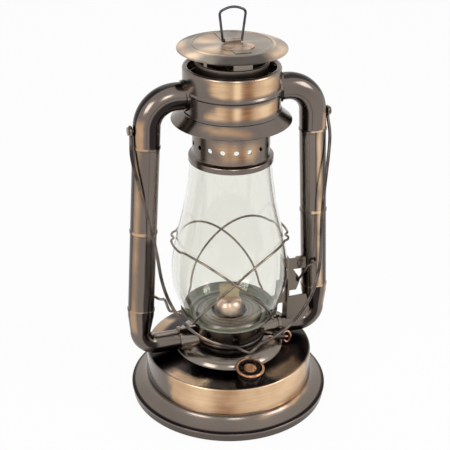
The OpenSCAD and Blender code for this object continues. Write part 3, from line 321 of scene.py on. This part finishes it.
def upperRelief(side, top):  # worn beside the bail's eye
    def relief(spot):
        low = 1 - (spot.z + spot.blotch * 10).ramp(top - 4, top + 4)
        around = spot.bendRound(side, *tubes["upperBend"], 1) + spot.blotch * 14
        return low * around.within(*elbows["wornArc"], 7) * 0.85
    return relief


# painted dark reflections in bands round an elbow's bend
def elbowPaintedReflection(side, bend, way, bands):
    def paintedDark(spot):
        around = spot.bendRound(side, *bend, way) + spot.blotch * 8
        dark = around.within(*bands[0][:2], 4) * bands[0][2]
        for low, high, depth in bands[1:]:
            dark = dark.most(around.within(low, high, 2.5) * depth)
        return dark * 0.92
    return paintedDark


# painted dark reflections on the upright end, and painted shade on the undersides of the level run
def lowerPaintedShade(side):
    upright = elbowPaintedReflection(side, tubes["lowerBend"], -1, elbows["lower"])

    def paintedDark(spot):
        standing = (spot.x * side).ramp(70, 76)
        undersideShade = (0 - spot.faceUp + spot.blotch * 0.5).ramp(-0.12, 0.1)
        return (upright(spot) * standing).most(undersideShade * (1 - (spot.x * side).ramp(74, 84)) * 0.9)
    return paintedDark


def lowerRelief(side):
    def relief(spot):
        around = spot.bendRound(side, *tubes["lowerBend"], -1) + spot.blotch * 14
        return around.within(*elbows["lowerWorn"], 7) * spot.z.ramp(74, 86) * 0.7
    return relief


def domeRelief(spot):
    return (spot.cloud * 3).ramp(0.4, 1.0) * 0.35


# plating of single parts, from dark to light
satin = {"cap": (tint(108, 99, 90), tint(166, 154, 141)), "dull": (tint(104, 95, 85), tint(130, 120, 108)),
         "dome": (tint(120, 111, 102), tint(144, 134, 124)),
         "skirt": (tint(109, 100, 93), tint(132, 121, 112)), "dark": (tint(58, 51, 48), tint(92, 84, 78)),
         "steel": (tint(118, 114, 107), tint(150, 146, 138)),
         "soot": (tint(118, 109, 99), tint(160, 150, 138)),
         "cone": (tint(218, 180, 156), tint(242, 214, 194)),
         "bright": (tint(172, 124, 96), tint(214, 172, 144))}
# upright stripes of painted highlight, or of painted shade where the gain is below nought: middle and half
# width in degrees round the lantern, and how much brighter
paintedSheen = {"drum": [(-101.5, 3.5, 0.5), (-122, 7, 0.25), (-110, 4, -0.15), (-90, 6, -0.4), (-66, 10, 0.5)],
          "tank": [(-127, 11, 0.35), (-110, 7, -0.15), (-98, 7, 0.1), (-68, 22, 0.45)],
          "cap": [(-30, 24, 1.3), (-158, 18, 0.6)], "rightTube": [(-8, 30, 0.35)],
          "neck": [(-119, 6, 0.25), (-104, 4, 0.15), (-92, 5, -0.25), (-78, 7, 0.25)]}
drumFinish = antiqueCopper("drumFinish", drumRelief, lathed=0.75, sheenStripes=paintedSheen["drum"])
tankFinish = antiqueCopper("tankFinish", tankRelief, tankPaintedReflection, lathed=0.6, sheenStripes=paintedSheen["tank"])
skirtFinish = antiqueCopper("skirtFinish", skirtRelief, skirtPaintedShade, satin["skirt"], 0.22)
neckFinish = antiqueCopper("neckFinish", neckRelief, lathed=0.75, sheenStripes=paintedSheen["neck"])
flangeFinish = antiqueCopper("flangeFinish", flangeRelief)
capFinish = antiqueCopper("capFinish", capRelief, capPaintedDark, satin["cap"], 0.4, sheenStripes=paintedSheen["cap"])
leftTubeFinish = antiqueCopper("leftTubeFinish", tubeRelief(-1, *tubes["leftWorn"]),
                               tubePaintedReflection(-1, tubes["leftEdges"], *tubes["leftLow"]))
rightTubeFinish = antiqueCopper("rightTubeFinish", tubeRelief(1, *tubes["rightWorn"]),
                                tubePaintedReflection(1, tubes["rightEdges"], *tubes["rightLow"]),
                                sheenStripes=paintedSheen["rightTube"])
leftUpperFinish = antiqueCopper("leftUpperFinish", upperRelief(-1, elbows["leftWornTo"]),
                                elbowPaintedReflection(-1, tubes["upperBend"], 1, elbows["leftUpper"]))
rightUpperFinish = antiqueCopper("rightUpperFinish", upperRelief(1, elbows["rightWornTo"]),
                                 elbowPaintedReflection(1, tubes["upperBend"], 1, elbows["rightUpper"]))
leftLowerFinish = antiqueCopper("leftLowerFinish", lowerRelief(-1), lowerPaintedShade(-1))
rightLowerFinish = antiqueCopper("rightLowerFinish", lowerRelief(1), lowerPaintedShade(1))
domeFinish = antiqueCopper("domeFinish", domeRelief, None, satin["dome"])
collarFinish = antiqueCopper("collarFinish", domeRelief, None, satin["dark"])
sheetFinish = antiqueCopper("sheetFinish", None, None, satin["dull"], 0.3)
steelFinish = antiqueCopper("steelFinish", None, None, satin["steel"], 0.28)
flueFinish = antiqueCopper("flueFinish", None, None, satin["soot"], 0.3)
coneFinish = antiqueCopper("coneFinish", None, None, satin["cone"], 0.3)
brightFinish = antiqueCopper("brightFinish", None, None, satin["bright"], 0.24)

wire = {"plating": (tint(60, 53, 51), tint(108, 99, 92)), "worn": tint(196, 160, 132), "rough": 0.18,
        "blued": (tint(54, 52, 66), tint(92, 88, 98)), "pale": (tint(104, 93, 84), tint(156, 142, 128))}


def wireFinish(name, plating, worn):
    material, shader, coords = newMaterial(name, {"Metallic": 1.0})
    cloud = coords.noise(70.0, 3.0)
    shade = cloud.ramp(0.35, 0.65).blend(*plating)
    shade = (coords.noise(30.0, 2.0).ramp(0.54, 0.72) * worn).blend(shade, wire["worn"])
    grain = coords.noise(1500.0, 2.0).bump(0.05, 0.0003)
    feed(shader, {"Base Color": shade, "Roughness": wire["rough"] + cloud * 0.1, "Normal": grain})
    return material


darkWire = wireFinish("darkWire", wire["plating"], 0.6)
bluedWire = wireFinish("bluedWire", wire["blued"], 0.15)
paleWire = wireFinish("paleWire", wire["pale"], 0.4)

ringed = {"steel": (tint(104, 100, 94), tint(154, 149, 142)), "rim": (tint(96, 90, 84), tint(128, 121, 113)),
          "foot": tint(232, 228, 220), "draftEdge": 60, "plateEdge": 38}


def ringedSteel(name, edge):  # pressed in rings, with a painted highlight ring at the edge, and darker where it doesn't face up
    material, shader, coords = newMaterial(name, {"Metallic": 1.0})
    spot = Spot(coords)
    rings = coords.maths("SINE", spot.out * 1.5)
    top = spot.faceUp.ramp(0.2, 0.5)
    rim = spot.out.ramp(edge, edge + 0.5)
    # a painted highlight ring round the edge
    foot = spot.out.within(edge - 2, edge + 2, 0.4)
    steel = (spot.cloud + rings * 0.2 + 0.5).blend(*ringed["steel"])
    steel = rim.blend(steel, (spot.cloud + 0.5).blend(*ringed["rim"]))
    steel = foot.blend(steel, ringed["foot"])
    notUpTone = (spot.cloud * 1.5 + 0.5).blend(finish["paintedDark"], satin["dark"][0])
    rough = 0.22 + top * 0.1 + foot * 0.4
    feed(shader, {"Base Color": top.blend(notUpTone, steel), "Roughness": rough,
                  "Normal": (rings * top).bump(0.4, 0.0008)})
    return material


glass = {"clear": tint(243, 243, 238), "green": tint(222, 233, 212), "greenTo": (83, 92), "ior": 1.46}


def clearGlass():  # greenish at the thick foot
    material, shader, coords = newMaterial("clearGlass", {"Transmission Weight": 1.0, "IOR": glass["ior"]})
    spot = Spot(coords)
    shade = (1 - spot.z.ramp(*glass["greenTo"])).blend(glass["clear"], glass["green"])
    ripple = coords.noise(26.0, 1.0).bump(0.04, 0.004)
    feed(shader, {"Base Color": shade, "Roughness": 0.02 + spot.fleck * 0.02, "Normal": ripple})
    return material


def rubber():
    material, shader, coords = newMaterial("gasketRubber", {"Metallic": 0.0})
    shade = coords.noise(300.0).blend(tint(24, 23, 22), tint(52, 49, 46))
    feed(shader, {"Base Color": shade, "Roughness": 0.7 + coords.noise(500.0) * 0.2})
    return material


glassFinish = clearGlass()
draftFinish = ringedSteel("draftFinish", ringed["draftEdge"])
plateFinish = ringedSteel("plateFinish", ringed["plateEdge"])
rubberFinish = rubber()

dressed = {
    skirtFinish: ["base_skirt"], tankFinish: ["tank_shell"], domeFinish: ["air_chamber", "port_collars"],
    collarFinish: ["burner_collar", "raiser_bush"], plateFinish: ["globe_plate"],
    drumFinish: ["chimney_drum"], flangeFinish: ["canopy_flange"], neckFinish: ["hood_neck", "globe_holder"],
    capFinish: ["hood_cap", "cap_bridge"], leftTubeFinish: ["left_lower_tube", "left_upper_tube"],
    rightTubeFinish: ["right_lower_tube", "right_upper_tube"],
    leftUpperFinish: ["left_upper_elbow", "inlet_collars"], rightUpperFinish: ["right_upper_elbow"],
    leftLowerFinish: ["left_lower_elbow"], rightLowerFinish: ["right_lower_elbow"],
    sheetFinish: ["lift_guide", "lift_gusset", "lift_lug", "lift_rivet", "lift_slider", "left_stud",
                  "right_stud"],
    steelFinish: ["tank_bottom", "spring_seat", "filler_neck"], flueFinish: ["inner_chimney"],
    draftFinish: ["draft_plate"],
    coneFinish: ["burner_cone", "burner_body", "burner_socket", "wick_tube"],
    brightFinish: ["raiser_rod", "spur_wheel"]}
for material, names in dressed.items():
    for name in names:
        nodes[name].data.materials.clear()
        nodes[name].data.materials.append(material)
print("plating set")


def bent(a, b, c, d, steps):  # points of a bent stretch, after its first
    a, b, c, d = Vector(a), Vector(b), Vector(c), Vector(d)
    ends = [(i / steps, 1 - i / steps) for i in range(1, steps + 1)]
    return [a * s ** 3 + b * (3 * s * s * t) + c * (3 * s * t * t) + d * t ** 3 for t, s in ends]


def bentRun(start, bends):  # points from start through each bend, given as (pull, pull, end, steps)
    run = [Vector(start)]
    for b, c, d, steps in bends:
        run += bent(run[-1], b, c, d, steps)
    return run


def wirePiece(runs, radius):  # a round wire along each run of points, given in mm
    data = bpy.data.curves.new("wire", "CURVE")
    data.dimensions = "3D"
    data.bevel_depth = radius * mm
    data.bevel_resolution = 5
    data.use_fill_caps = True
    for points, closed in runs:
        spline = data.splines.new("POLY")
        spline.points.add(len(points) - 1)
        for knot, point in zip(spline.points, points):
            knot.co = (*(Vector(point) * mm), 1)
        spline.use_cyclic_u = closed
    curve = bpy.data.objects.new("wire", data)
    scene.collection.objects.link(curve)
    mesh = bpy.data.meshes.new_from_object(curve.evaluated_get(bpy.context.evaluated_depsgraph_get()))
    bm = bmesh.new()
    bm.from_mesh(mesh)
    bpy.data.objects.remove(curve)
    bpy.data.meshes.remove(mesh)
    return bm


def addBall(bm, place, radius):
    bmesh.ops.create_uvsphere(bm, u_segments=24, v_segments=12, radius=radius * mm,
                              matrix=Matrix.Translation(Vector(place) * mm))


def turned(profile, closed, steps):  # profile of (radius, height) in mm, spun about the lantern's axis
    bm = bmesh.new()
    verts = [bm.verts.new((r * mm, 0, z * mm)) for r, z in profile]
    pairs = zip(verts, verts[1:] + verts[:1]) if closed else zip(verts, verts[1:])
    edges = [bm.edges.new(pair) for pair in pairs]
    bmesh.ops.spin(bm, geom=verts + edges, cent=(0, 0, 0), axis=(0, 0, 1), dvec=(0, 0, 0),
                   angle=2 * math.pi, steps=steps, use_merge=True, use_duplicate=False)
    return bm


def makePiece(name, bm, body, material, stands=(), crease=35):
    bmesh.ops.remove_doubles(bm, verts=bm.verts, dist=1e-6)
    bmesh.ops.recalc_face_normals(bm, faces=bm.faces)
    mesh = bpy.data.meshes.new(name)
    bm.to_mesh(mesh)
    bm.free()
    mesh.shade_smooth()
    mesh.set_sharp_from_angle(angle=math.radians(crease))
    mesh.materials.append(material)
    piece = bpy.data.objects.new(name, mesh)
    scene.collection.objects.link(piece)
    if body:
        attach(piece, body)
    if stands:
        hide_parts(*stands)
    return piece


def turn(degrees, axis):
    return Matrix.Rotation(math.radians(degrees), 4, axis)


def mirrored(points):  # the other half of a run that ends on the middle plane
    return points + [Vector((-p[0], *p[1:])) for p in points[-2::-1]]


# bail, hanging in front of the globe
bail = {"wire": 1.5, "pivotZ": 278.563, "eyeX": 91.07, "eyeRing": 3.55, "lean": 16.8, "start": 3.5,
        "bends": [((91.07, 8), (92.15, 14), (92.15, 20), 8), ((92.15, 38), (79.5, 80), (76.8, 122), 28),
                  ((74.1, 172), (45, 199), (12, 206.4), 32), ((7.2, 209.4), (3, 213.4), (0, 213.4), 10)]}


def makeBail():
    half = bentRun((bail["eyeX"], bail["start"]), bail["bends"])
    lean = math.radians(bail["lean"])
    drop = [Vector((x, -s * math.sin(lean), bail["pivotZ"] - s * math.cos(lean))) for x, s in mirrored(half)]
    runs = [(drop, False)]
    for side in (-1, 1):
        turns = [2 * math.pi * i / 32 for i in range(32)]
        runs.append(([(side * bail["eyeX"], bail["eyeRing"] * math.cos(t),
                       bail["pivotZ"] + bail["eyeRing"] * math.sin(t)) for t in turns], True))
    makePiece("bail_wire", wirePiece(runs, bail["wire"]), "bail", darkWire, ["bail"])


# guard wires, crossed round the globe
guard = {"wire": 1.1, "low": 87.813, "gap": 36, "rise": 20, "clear": 0.6, "rim": 46.35, "rings": 192,
         "swing": 2.5, "kink": 6, "notches": [(158, 174), (174, 212)],
         "left": (170, 63, 0), "right": (-10, 60, 2.25)}
globeSet = {"foot": 82.363, "footRadius": 38.6, "wall": 2.4, "steps": 128,
            "bends": [((46.92, 11.96), (54.6, 27.14), (54.6, 46), 28),
                      ((54.6, 82.1), (40.56, 101.9), (36.6, 162.5), 44)]}
globeSide = bentRun((globeSet["footRadius"], 0), globeSet["bends"])


def globeRadius(z):
    up = z - globeSet["foot"]
    for low, high in zip(globeSide, globeSide[1:]):
        if low[1] <= up <= high[1]:
            return low[0] + (high[0] - low[0]) * (up - low[1]) / (high[1] - low[1])
    return globeSide[0][0]


def eased(t):
    t = min(1.0, max(0.0, t))
    return t * t * (3 - 2 * t)


def makeGuard(name, lowAz, cross, over):
    gap = math.radians(guard["gap"])
    up = globeSet["foot"] + cross
    bend = (up - guard["low"] - guard["rise"] * math.cos(gap)) / (1 + 2 * math.cos(gap) + math.cos(2 * gap))
    points = []
    for i in range(guard["rings"] + 1):
        angle = guard["gap"] + (360 - 2 * guard["gap"]) * i / guard["rings"]
        a = math.radians(angle)
        z = up - bend - (guard["rise"] + 2 * bend) * math.cos(a) - bend * math.cos(2 * a)
        kinks = [eased((angle - first) / guard["kink"]) * eased((last - angle) / guard["kink"])
                 for first, last in guard["notches"]]
        r = guard["wire"] + guard["swing"] * sum(kinks) + over * math.sin(a) ** 8
        r += max(globeRadius(z) + guard["clear"], guard["rim"])
        az = math.radians(lowAz) + a
        points.append((r * math.cos(az), r * math.sin(az), z))
    makePiece(name + "_wire", wirePiece([(points, False)], guard["wire"]), "globe_carriage",
              paleWire, [name])


def makeGlobe():  # glass chimney with rounded lips
    wall = globeSet["wall"]
    outer = [(r, globeSet["foot"] + z) for r, z in globeSide]
    inner = [(r - wall, z) for r, z in reversed(outer)]
    profile = outer + inner
    lip = wall * 0.3
    profile[0] = (profile[0][0], profile[0][1] + lip)
    profile[-1] = (profile[-1][0], profile[-1][1] + lip)
    top = len(outer)
    profile[top - 1] = (profile[top - 1][0], profile[top - 1][1] - lip)
    profile[top] = (profile[top][0], profile[top][1] - lip)
    profile[top:top] = [(outer[-1][0] - lip, outer[-1][1]), (outer[-1][0] - wall + lip, outer[-1][1])]
    profile += [(outer[0][0] - wall + lip, outer[0][1]), (outer[0][0] - lip, outer[0][1])]
    makePiece("globe_glass", turned(profile, True, globeSet["steps"]), "globe_carriage",
              glassFinish, ["globe"], 60)


# guide wire, hooked round the left tube
guide = {"wire": 1.3, "hook": (85.479, 108.313), "bow": 14.224, "from": 60, "turn": 150, "reach": 6,
         "pull": 4, "stops": ((65.254, 0, 107.013), (57.3, 0, 92.413), (46.35, 0, 87.613))}


def makeGuideWire():
    hookX, hookZ = guide["hook"]
    bow = guide["bow"]

    def onHook(degrees):
        a = math.radians(degrees)
        return Vector((hookX + bow * math.cos(a), bow * math.sin(a), hookZ))
    first, last = guide["from"], guide["turn"]
    points = [onHook(first + (last - first) * i / 32) for i in range(33)]
    pull = Vector((guide["pull"], 0, 0))
    a = math.radians(last)
    along = guide["reach"] * Vector((-math.sin(a), math.cos(a), 0))
    stops = [Vector(stop) for stop in guide["stops"]]
    points += bent(onHook(last), onHook(last) + along, stops[0] + pull, stops[0], 12)
    for low, high in zip(stops, stops[1:]):
        points += bent(low, low - pull, high + pull, high, 16)
    points = [(-p[0], p[1], p[2]) for p in points]
    makePiece("guide_bent_wire", wirePiece([(points, False)], guide["wire"]), "globe_carriage",
              paleWire, ["guide_wire"])


# lift ring on the cap
ring = {"wire": 1.1, "hinge": 351.613, "foot": 8.57, "pin": 5.5, "ball": 1.22, "side": (9.94, 10.75),
        "shoulder": (11.3, 21.5), "bends": [((11.85, 24.5), (10.75, 26), (8.3, 27), 10),
                                            ((5.3, 28.33), (3, 29), (0, 29), 8)]}


def makeLiftRing():
    half = [Vector((ring["foot"], 0)), Vector(ring["side"])] + bentRun(ring["shoulder"], ring["bends"])
    loop = [Vector((x, 0, ring["hinge"] + s)) for x, s in mirrored(half)]
    runs = [(loop, False)]
    for side in (-1, 1):
        runs.append(([(side * (ring["foot"] - ring["pin"]), 0, ring["hinge"]),
                      (side * ring["foot"], 0, ring["hinge"])], False))
    bm = wirePiece(runs, ring["wire"])
    for side in (-1, 1):
        addBall(bm, (side * ring["foot"], 0, ring["hinge"]), ring["ball"])
    makePiece("lift_ring_wire", bm, "lift_ring", bluedWire, ["lift_ring"])


# lift lever with its axle, crank and handle
lever = {"wire": 1.1, "axle": (66.5, 110.013), "front": -7.95, "back": 6.85, "pin": (56.753, 103.013),
         "pinHalf": 3.15, "bend": (73.3, -15.5, 129.81), "bendReach": 4, "tip": (81, -15.5, 131.51),
         "ball": 2.0}


def makeLever():
    x, z = lever["axle"]
    pinX, pinZ = lever["pin"]
    half = lever["pinHalf"]
    corner, tip = Vector(lever["bend"]), Vector(lever["tip"])
    start = Vector((x, lever["front"], z))
    rise = (corner - start).normalized() * lever["bendReach"]
    lead = (tip - corner).normalized() * lever["bendReach"]
    handle = [start, corner - rise] + bent(corner - rise, corner, corner, corner + lead, 8) + [tip]
    runs = [([start, (x, lever["back"], z)], False), (handle, False),
            ([(pinX, -half, pinZ), (pinX, half, pinZ)], False), ([(pinX, 0, pinZ), (x, 0, z)], False)]
    bm = wirePiece(runs, lever["wire"])
    addBall(bm, tip, lever["ball"])
    addBall(bm, start, lever["wire"] * 1.05)
    makePiece("lift_lever_wire", bm, "lift_lever", darkWire, ["lift_lever"])


# spring under the drum's lip, in two halves
spring = {"wire": 0.8, "coil": 39.65, "low": 292.563, "top": 326.363, "turns": 3, "rings": 48}


def makeSpring():
    middle = (spring["low"] + spring["top"]) / 2
    halves = [("spring_upper", middle, spring["top"], "frame", "globe_carriage"),
              ("spring_lower", spring["low"], middle, "globe_carriage", "hood")]
    for name, low, top, upperBody, lowerBody in halves:
        count = int(spring["turns"] * spring["rings"] / 2)
        first = 0 if low == spring["low"] else count
        points = []
        for i in range(count + 1):
            a = 2 * math.pi * (first + i) / spring["rings"]
            up = low + (top - low) * i / count
            points.append((spring["coil"] * math.cos(a), spring["coil"] * math.sin(a), up))
        bm = wirePiece([(points, False)], spring["wire"])
        piece = makePiece(name, bm, None, steelFinish)
        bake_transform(piece)
        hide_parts("hood_spring")


# fuel cap, turned and knurled under its rolled edge
fuelCap = {"place": (0, -63.5, 48.687), "slope": 8, "radius": 13.4, "bore": 9.05, "low": 1.4,
           "ceiling": 9.5, "floor": 10.5, "top": 12.3, "edge": 2, "boss": 6, "teeth": 44, "tooth": 0.75,
           "copper": (tint(146, 102, 74), tint(202, 154, 120)),
           "steel": (tint(104, 98, 90), tint(142, 135, 125)), "recess": tint(40, 33, 31)}


def onFiller():
    return Matrix.Translation(Vector(fuelCap["place"]) * mm) @ turn(fuelCap["slope"], "X")


def makeFuelCap():
    r, top, floor = fuelCap["radius"], fuelCap["top"], fuelCap["floor"]
    bore, boss = fuelCap["bore"], fuelCap["boss"]
    roll = fuelCap["edge"] / 2 + 0.5
    arch = [(r - roll + roll * math.cos(math.radians(a)), top - roll + roll * math.sin(math.radians(a)))
            for a in range(-20, 181, 20)]
    profile = [(0, fuelCap["ceiling"]), (bore, fuelCap["ceiling"]), (bore, fuelCap["low"]),
               (bore + 1, fuelCap["low"]), (bore + 1.1, 4.6), (r - 1.5, top - 4.6), (r - 0.5, top - 4.1),
               (r - 0.2, top - 2.1), *arch, (r - 2 * roll, floor + 0.3), (r - 2 * roll - 0.4, floor),
               (boss + 1.2, floor), (boss + 0.5, floor + 0.3), (boss, top - 1.2), (boss - 0.7, top - 0.8),
               (boss - 1.4, top - 1.1), (2.6, top - 1.0), (0, top - 0.7)]
    steps = fuelCap["teeth"] * 4
    bm = turned(profile, False, steps)
    bmesh.ops.remove_doubles(bm, verts=bm.verts, dist=1e-6)
    for vert in bm.verts:
        out = math.hypot(vert.co.x, vert.co.y) / mm
        up = vert.co.z / mm
        if out > r - 0.6 and top - 4.2 < up < top - 2:  # gaps between the teeth
            index = round(math.atan2(vert.co.y, vert.co.x) / (2 * math.pi) * steps) % 4
            if index in (0, 1):
                push = (out - fuelCap["tooth"]) / out
                vert.co.x *= push
                vert.co.y *= push
    bmesh.ops.transform(bm, matrix=onFiller(), verts=bm.verts)
    makePiece("fuel_cap_knurled", bm, "fuel_cap", capCopper, ["fuel_cap"], 50)


def capCopperFinish():  # dark in the recess, copper on the edge, teeth and boss
    material, shader, coords = newMaterial("capCopper", {"Metallic": 1.0})
    ownCoords = coords.add("Mapping", {"vector_type": "POINT"}, {
        "Vector": coords, "Location": tuple(onFiller().inverted().to_translation()),
        "Rotation": (-math.radians(fuelCap["slope"]), 0, 0)})
    x, y, z = [part / mm for part in coords.add("SeparateXYZ", inputs={0: ownCoords}).outs(0, 1, 2)]
    out = coords.maths("SQRT", x * x + y * y)
    top = fuelCap["top"]
    edge = out.ramp(10.6, 11.4) * z.ramp(top - 4.4, top - 3.8)
    boss = (1 - out.ramp(5.6, 6.3)) * z.ramp(top - 1.6, top - 1.2)
    cloud = coords.noise(110.0, 1.0)
    copper = cloud.ramp(0.3, 0.7).blend(*fuelCap["copper"])
    body = z.ramp(top - 2.4, top - 2).blend(cloud.blend(*fuelCap["steel"]), fuelCap["recess"])
    feed(shader, {"Base Color": edge.most(boss).blend(body, copper), "Roughness": 0.2 + cloud * 0.1})
    return material


capCopper = capCopperFinish()

# gasket in the fuel cap
gasket = {"low": 8.05, "high": 9.45, "inner": 4.0, "outer": 9.0, "soft": 0.35}


def makeGasket():
    low, high, soft = gasket["low"], gasket["high"], gasket["soft"]
    inner, outer = gasket["inner"], gasket["outer"]
    profile = [(outer - soft, low), (outer, low + soft), (outer, high - soft), (outer - soft, high),
               (inner + soft, high), (inner, high - soft), (inner, low + soft), (inner + soft, low)]
    bm = turned(profile, True, 64)
    bmesh.ops.transform(bm, matrix=onFiller(), verts=bm.verts)
    makePiece("gasket_ring", bm, "cap_gasket", rubberFinish, ["cap_gasket"], 60)


# wick, a flat woven tape with a singed end
wick = {"turn": -17, "wide": 19, "thick": 2.6, "inset": 0.3, "round": 0.8, "rib": 0.12, "rows": 90,
        "ribs": 38, "cotton": (tint(196, 170, 126), tint(232, 212, 172)), "singed": tint(112, 90, 62),
        "singedFrom": (110.5, 114.5)}


def wickFinish():
    material, shader, coords = newMaterial("wickCotton", {"Metallic": 0.0, "Sheen Weight": 0.2})
    ownCoords = coords.add("Mapping", {"vector_type": "POINT"},
                           {"Vector": coords, "Rotation": (0, 0, -math.radians(wick["turn"]))})
    x, z = [part / mm for part in coords.add("SeparateXYZ", inputs={0: ownCoords}).outs(0, 2)]
    warp = coords.maths("SINE", x * 6.28)
    weft = coords.maths("SINE", z * 5.2 + warp)
    weave = warp * 0.5 + weft * 0.5
    cloud = coords.noise(160.0, 3.0)
    shade = (weave * 0.28 + cloud * 0.8).blend(*wick["cotton"])
    shade = ((z + cloud * 3).ramp(*wick["singedFrom"]) * 0.4).blend(shade, wick["singed"])
    feed(shader, {"Base Color": shade, "Roughness": 0.85 + cloud * 0.1, "Normal": weave.bump(0.5, 0.0005)})
    return material


def makeWick():
    low, high = [c / mm for c in (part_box("wick")[0][2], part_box("wick")[1][2])]
    bm = bmesh.new()
    bmesh.ops.create_cube(bm, size=1)
    size = Vector((wick["wide"] - wick["inset"], wick["thick"] - wick["inset"], high - low)) * mm
    bmesh.ops.scale(bm, vec=size, verts=bm.verts)
    bmesh.ops.translate(bm, vec=(0, 0, (high + low) / 2 * mm), verts=bm.verts)
    bmesh.ops.bevel(bm, geom=bm.edges[:], offset=wick["round"] * mm, segments=3, affect="EDGES",
                    profile=0.5, material=-1)
    for count, normal in ((wick["ribs"], (1, 0, 0)), (wick["rows"], (0, 0, 1))):
        for i in range(1, count):
            span = wick["wide"] if normal[0] else high - low
            start = -wick["wide"] / 2 if normal[0] else low
            where = (start + span * i / count) * mm
            bmesh.ops.bisect_plane(bm, geom=bm.verts[:] + bm.edges[:] + bm.faces[:],
                                   plane_co=Vector(normal) * where, plane_no=normal)
    bm.normal_update()
    for vert in bm.verts:  # ribs of the weave stand out by turns
        column = round((vert.co.x / mm + wick["wide"] / 2) / wick["wide"] * wick["ribs"])
        row = round((vert.co.z / mm - low) / (high - low) * wick["rows"])
        vert.co.y += math.copysign(wick["rib"] * mm * ((column + row) % 2), vert.co.y)
    bmesh.ops.transform(bm, matrix=turn(wick["turn"], "Z"), verts=bm.verts)
    makePiece("wick_tape", bm, "wick", wickFinish(), ["wick"], 80)


# thumb loop on the end of the wick raiser's rod
thumb = {"wire": 1.2, "turn": -17, "place": (56.05, -5.35, 57.763), "half": (3.4, 6.0)}


def makeThumbLoop():
    turns = [2 * math.pi * i / 48 for i in range(48)]
    x, y, z = thumb["place"]
    wide, high = thumb["half"]
    loop = [Vector((x + wide * math.cos(t), y, z + high * math.sin(t))) for t in turns]
    bm = wirePiece([(loop, True)], thumb["wire"])
    bmesh.ops.transform(bm, matrix=turn(thumb["turn"], "Z"), verts=bm.verts)
    makePiece("thumb_loop_wire", bm, "wick_raiser", brightFinish, ["thumb_loop"])


# plain oval plate on the cap, in front of the ring's barrel
plate = {"place": (1.0, -13.2), "half": (14.5, 10.2), "top": 350.25,
         "profile": ((1.0, -0.95), (1.0, -0.25), (0.985, -0.05), (0.97, 0), (0.92, 0), (0.9, -0.2),
                     (0.0, -0.12))}


def makeCapPlate():
    bm = turned([(r, plate["top"] + z) for r, z in plate["profile"]], False, 64)
    for vert in bm.verts:
        vert.co.x = vert.co.x * plate["half"][0] + plate["place"][0] * mm
        vert.co.y = vert.co.y * plate["half"][1] + plate["place"][1] * mm
    material = antiqueCopper("ovalFinish", lambda spot: 0.5 + spot.cloud, None, satin["cap"], 0.42)
    makePiece("cap_oval", bm, "hood", material, (), 40)


makeBail()
makeGuard("guard_wire_left", *guard["left"])
makeGuard("guard_wire_right", *guard["right"])
makeGlobe()
makeGuideWire()
makeLiftRing()
makeLever()
makeSpring()
makeFuelCap()
makeGasket()
makeWick()
makeThumbLoop()
makeCapPlate()
print("pieces made")

# camera, at the angle that the lantern is seen from
cameraSet = {"place": (-0.2781, -0.8560, 0.6298), "yaw": -17.70, "pitch": 63.21, "roll": 0.58, "lens": 87.32}


def makeCamera():
    data = bpy.data.cameras.new("camera")
    data.lens = cameraSet["lens"]
    camera = bpy.data.objects.new("camera", data)
    camera.matrix_world = (Matrix.Translation(cameraSet["place"]) @ turn(cameraSet["yaw"], "Z")
                           @ turn(cameraSet["pitch"], "X") @ turn(cameraSet["roll"], "Z"))
    scene.collection.objects.link(camera)
    scene.camera = camera


# pale studio; the metal sees it dimmer high up at the back
studio = {"floor": 3.0, "floorShow": 0.95, "fill": 0.4, "dim": 0.15, "aim": (0, 0, 0.18),
          "lamps": [((-1.15, -0.72, 0.95), 0.6, 6.0), ((-0.16, -1.2, 1.1), 0.35, 2.5),
                    ((1.05, -0.82, 0.95), 0.6, 6.0), ((0.1, 0.9, 1.3), 0.9, 2.5)]}


def seenDirectly(sock):  # camera, mirror and glass rays
    rays = sock.add("LightPath")
    camera, mirror, through = rays.outs("Is Camera Ray", "Is Glossy Ray", "Is Transmission Ray")
    return camera.most(mirror).most(through), mirror * (1 - camera)


def makeStudio():
    world = bpy.data.worlds.new("studio")
    world.use_nodes = True
    scene.world = world
    tree = world.node_tree
    back = tree.nodes["Background"]
    start = Sock(tree, back.outputs[0])
    back.inputs["Color"].default_value = (1, 1, 1, 1)
    shown, mirror = seenDirectly(start)
    way = start.add("TexCoord", output="Generated")
    deep, high = start.add("SeparateXYZ", inputs={0: way}).outs(1, 2)
    dimmed = mirror * deep.ramp(0.0, 0.45) * high.ramp(0.3, 0.6) * studio["dim"]
    strength = (shown * (1 - studio["fill"]) + studio["fill"]) * (1 - dimmed)
    tree.links.new(strength.out, back.inputs["Strength"])

    mesh = bpy.data.meshes.new("floor")
    bm = bmesh.new()
    bmesh.ops.create_grid(bm, x_segments=1, y_segments=1, size=studio["floor"])
    bm.to_mesh(mesh)
    bm.free()
    floor = bpy.data.objects.new("floor", mesh)
    scene.collection.objects.link(floor)
    material, shader, coords = newMaterial("paleFloor", {"Base Color": (0.9, 0.9, 0.9, 1), "Roughness": 0.9})
    glow = coords.add("Emission", inputs={"Color": (1, 1, 1, 1), "Strength": 1.0})
    mixed = coords.add("MixShader", inputs={0: seenDirectly(coords)[0] * studio["floorShow"],
                                            1: Sock(coords.tree, shader.outputs[0]), 2: glow})
    coords.tree.links.new(mixed.out, coords.tree.nodes["Material Output"].inputs["Surface"])
    mesh.materials.append(material)
    for place, size, power in studio["lamps"]:
        data = bpy.data.lights.new("softbox", "AREA")
        data.size = size
        data.energy = power
        lamp = bpy.data.objects.new("softbox", data)
        aim = Vector(studio["aim"]) - Vector(place)
        lamp.matrix_world = Matrix.Translation(place) @ aim.to_track_quat("-Z", "Y").to_matrix().to_4x4()
        scene.collection.objects.link(lamp)


makeCamera()
makeStudio()
scene.view_settings.view_transform = "Standard"
print("studio set")
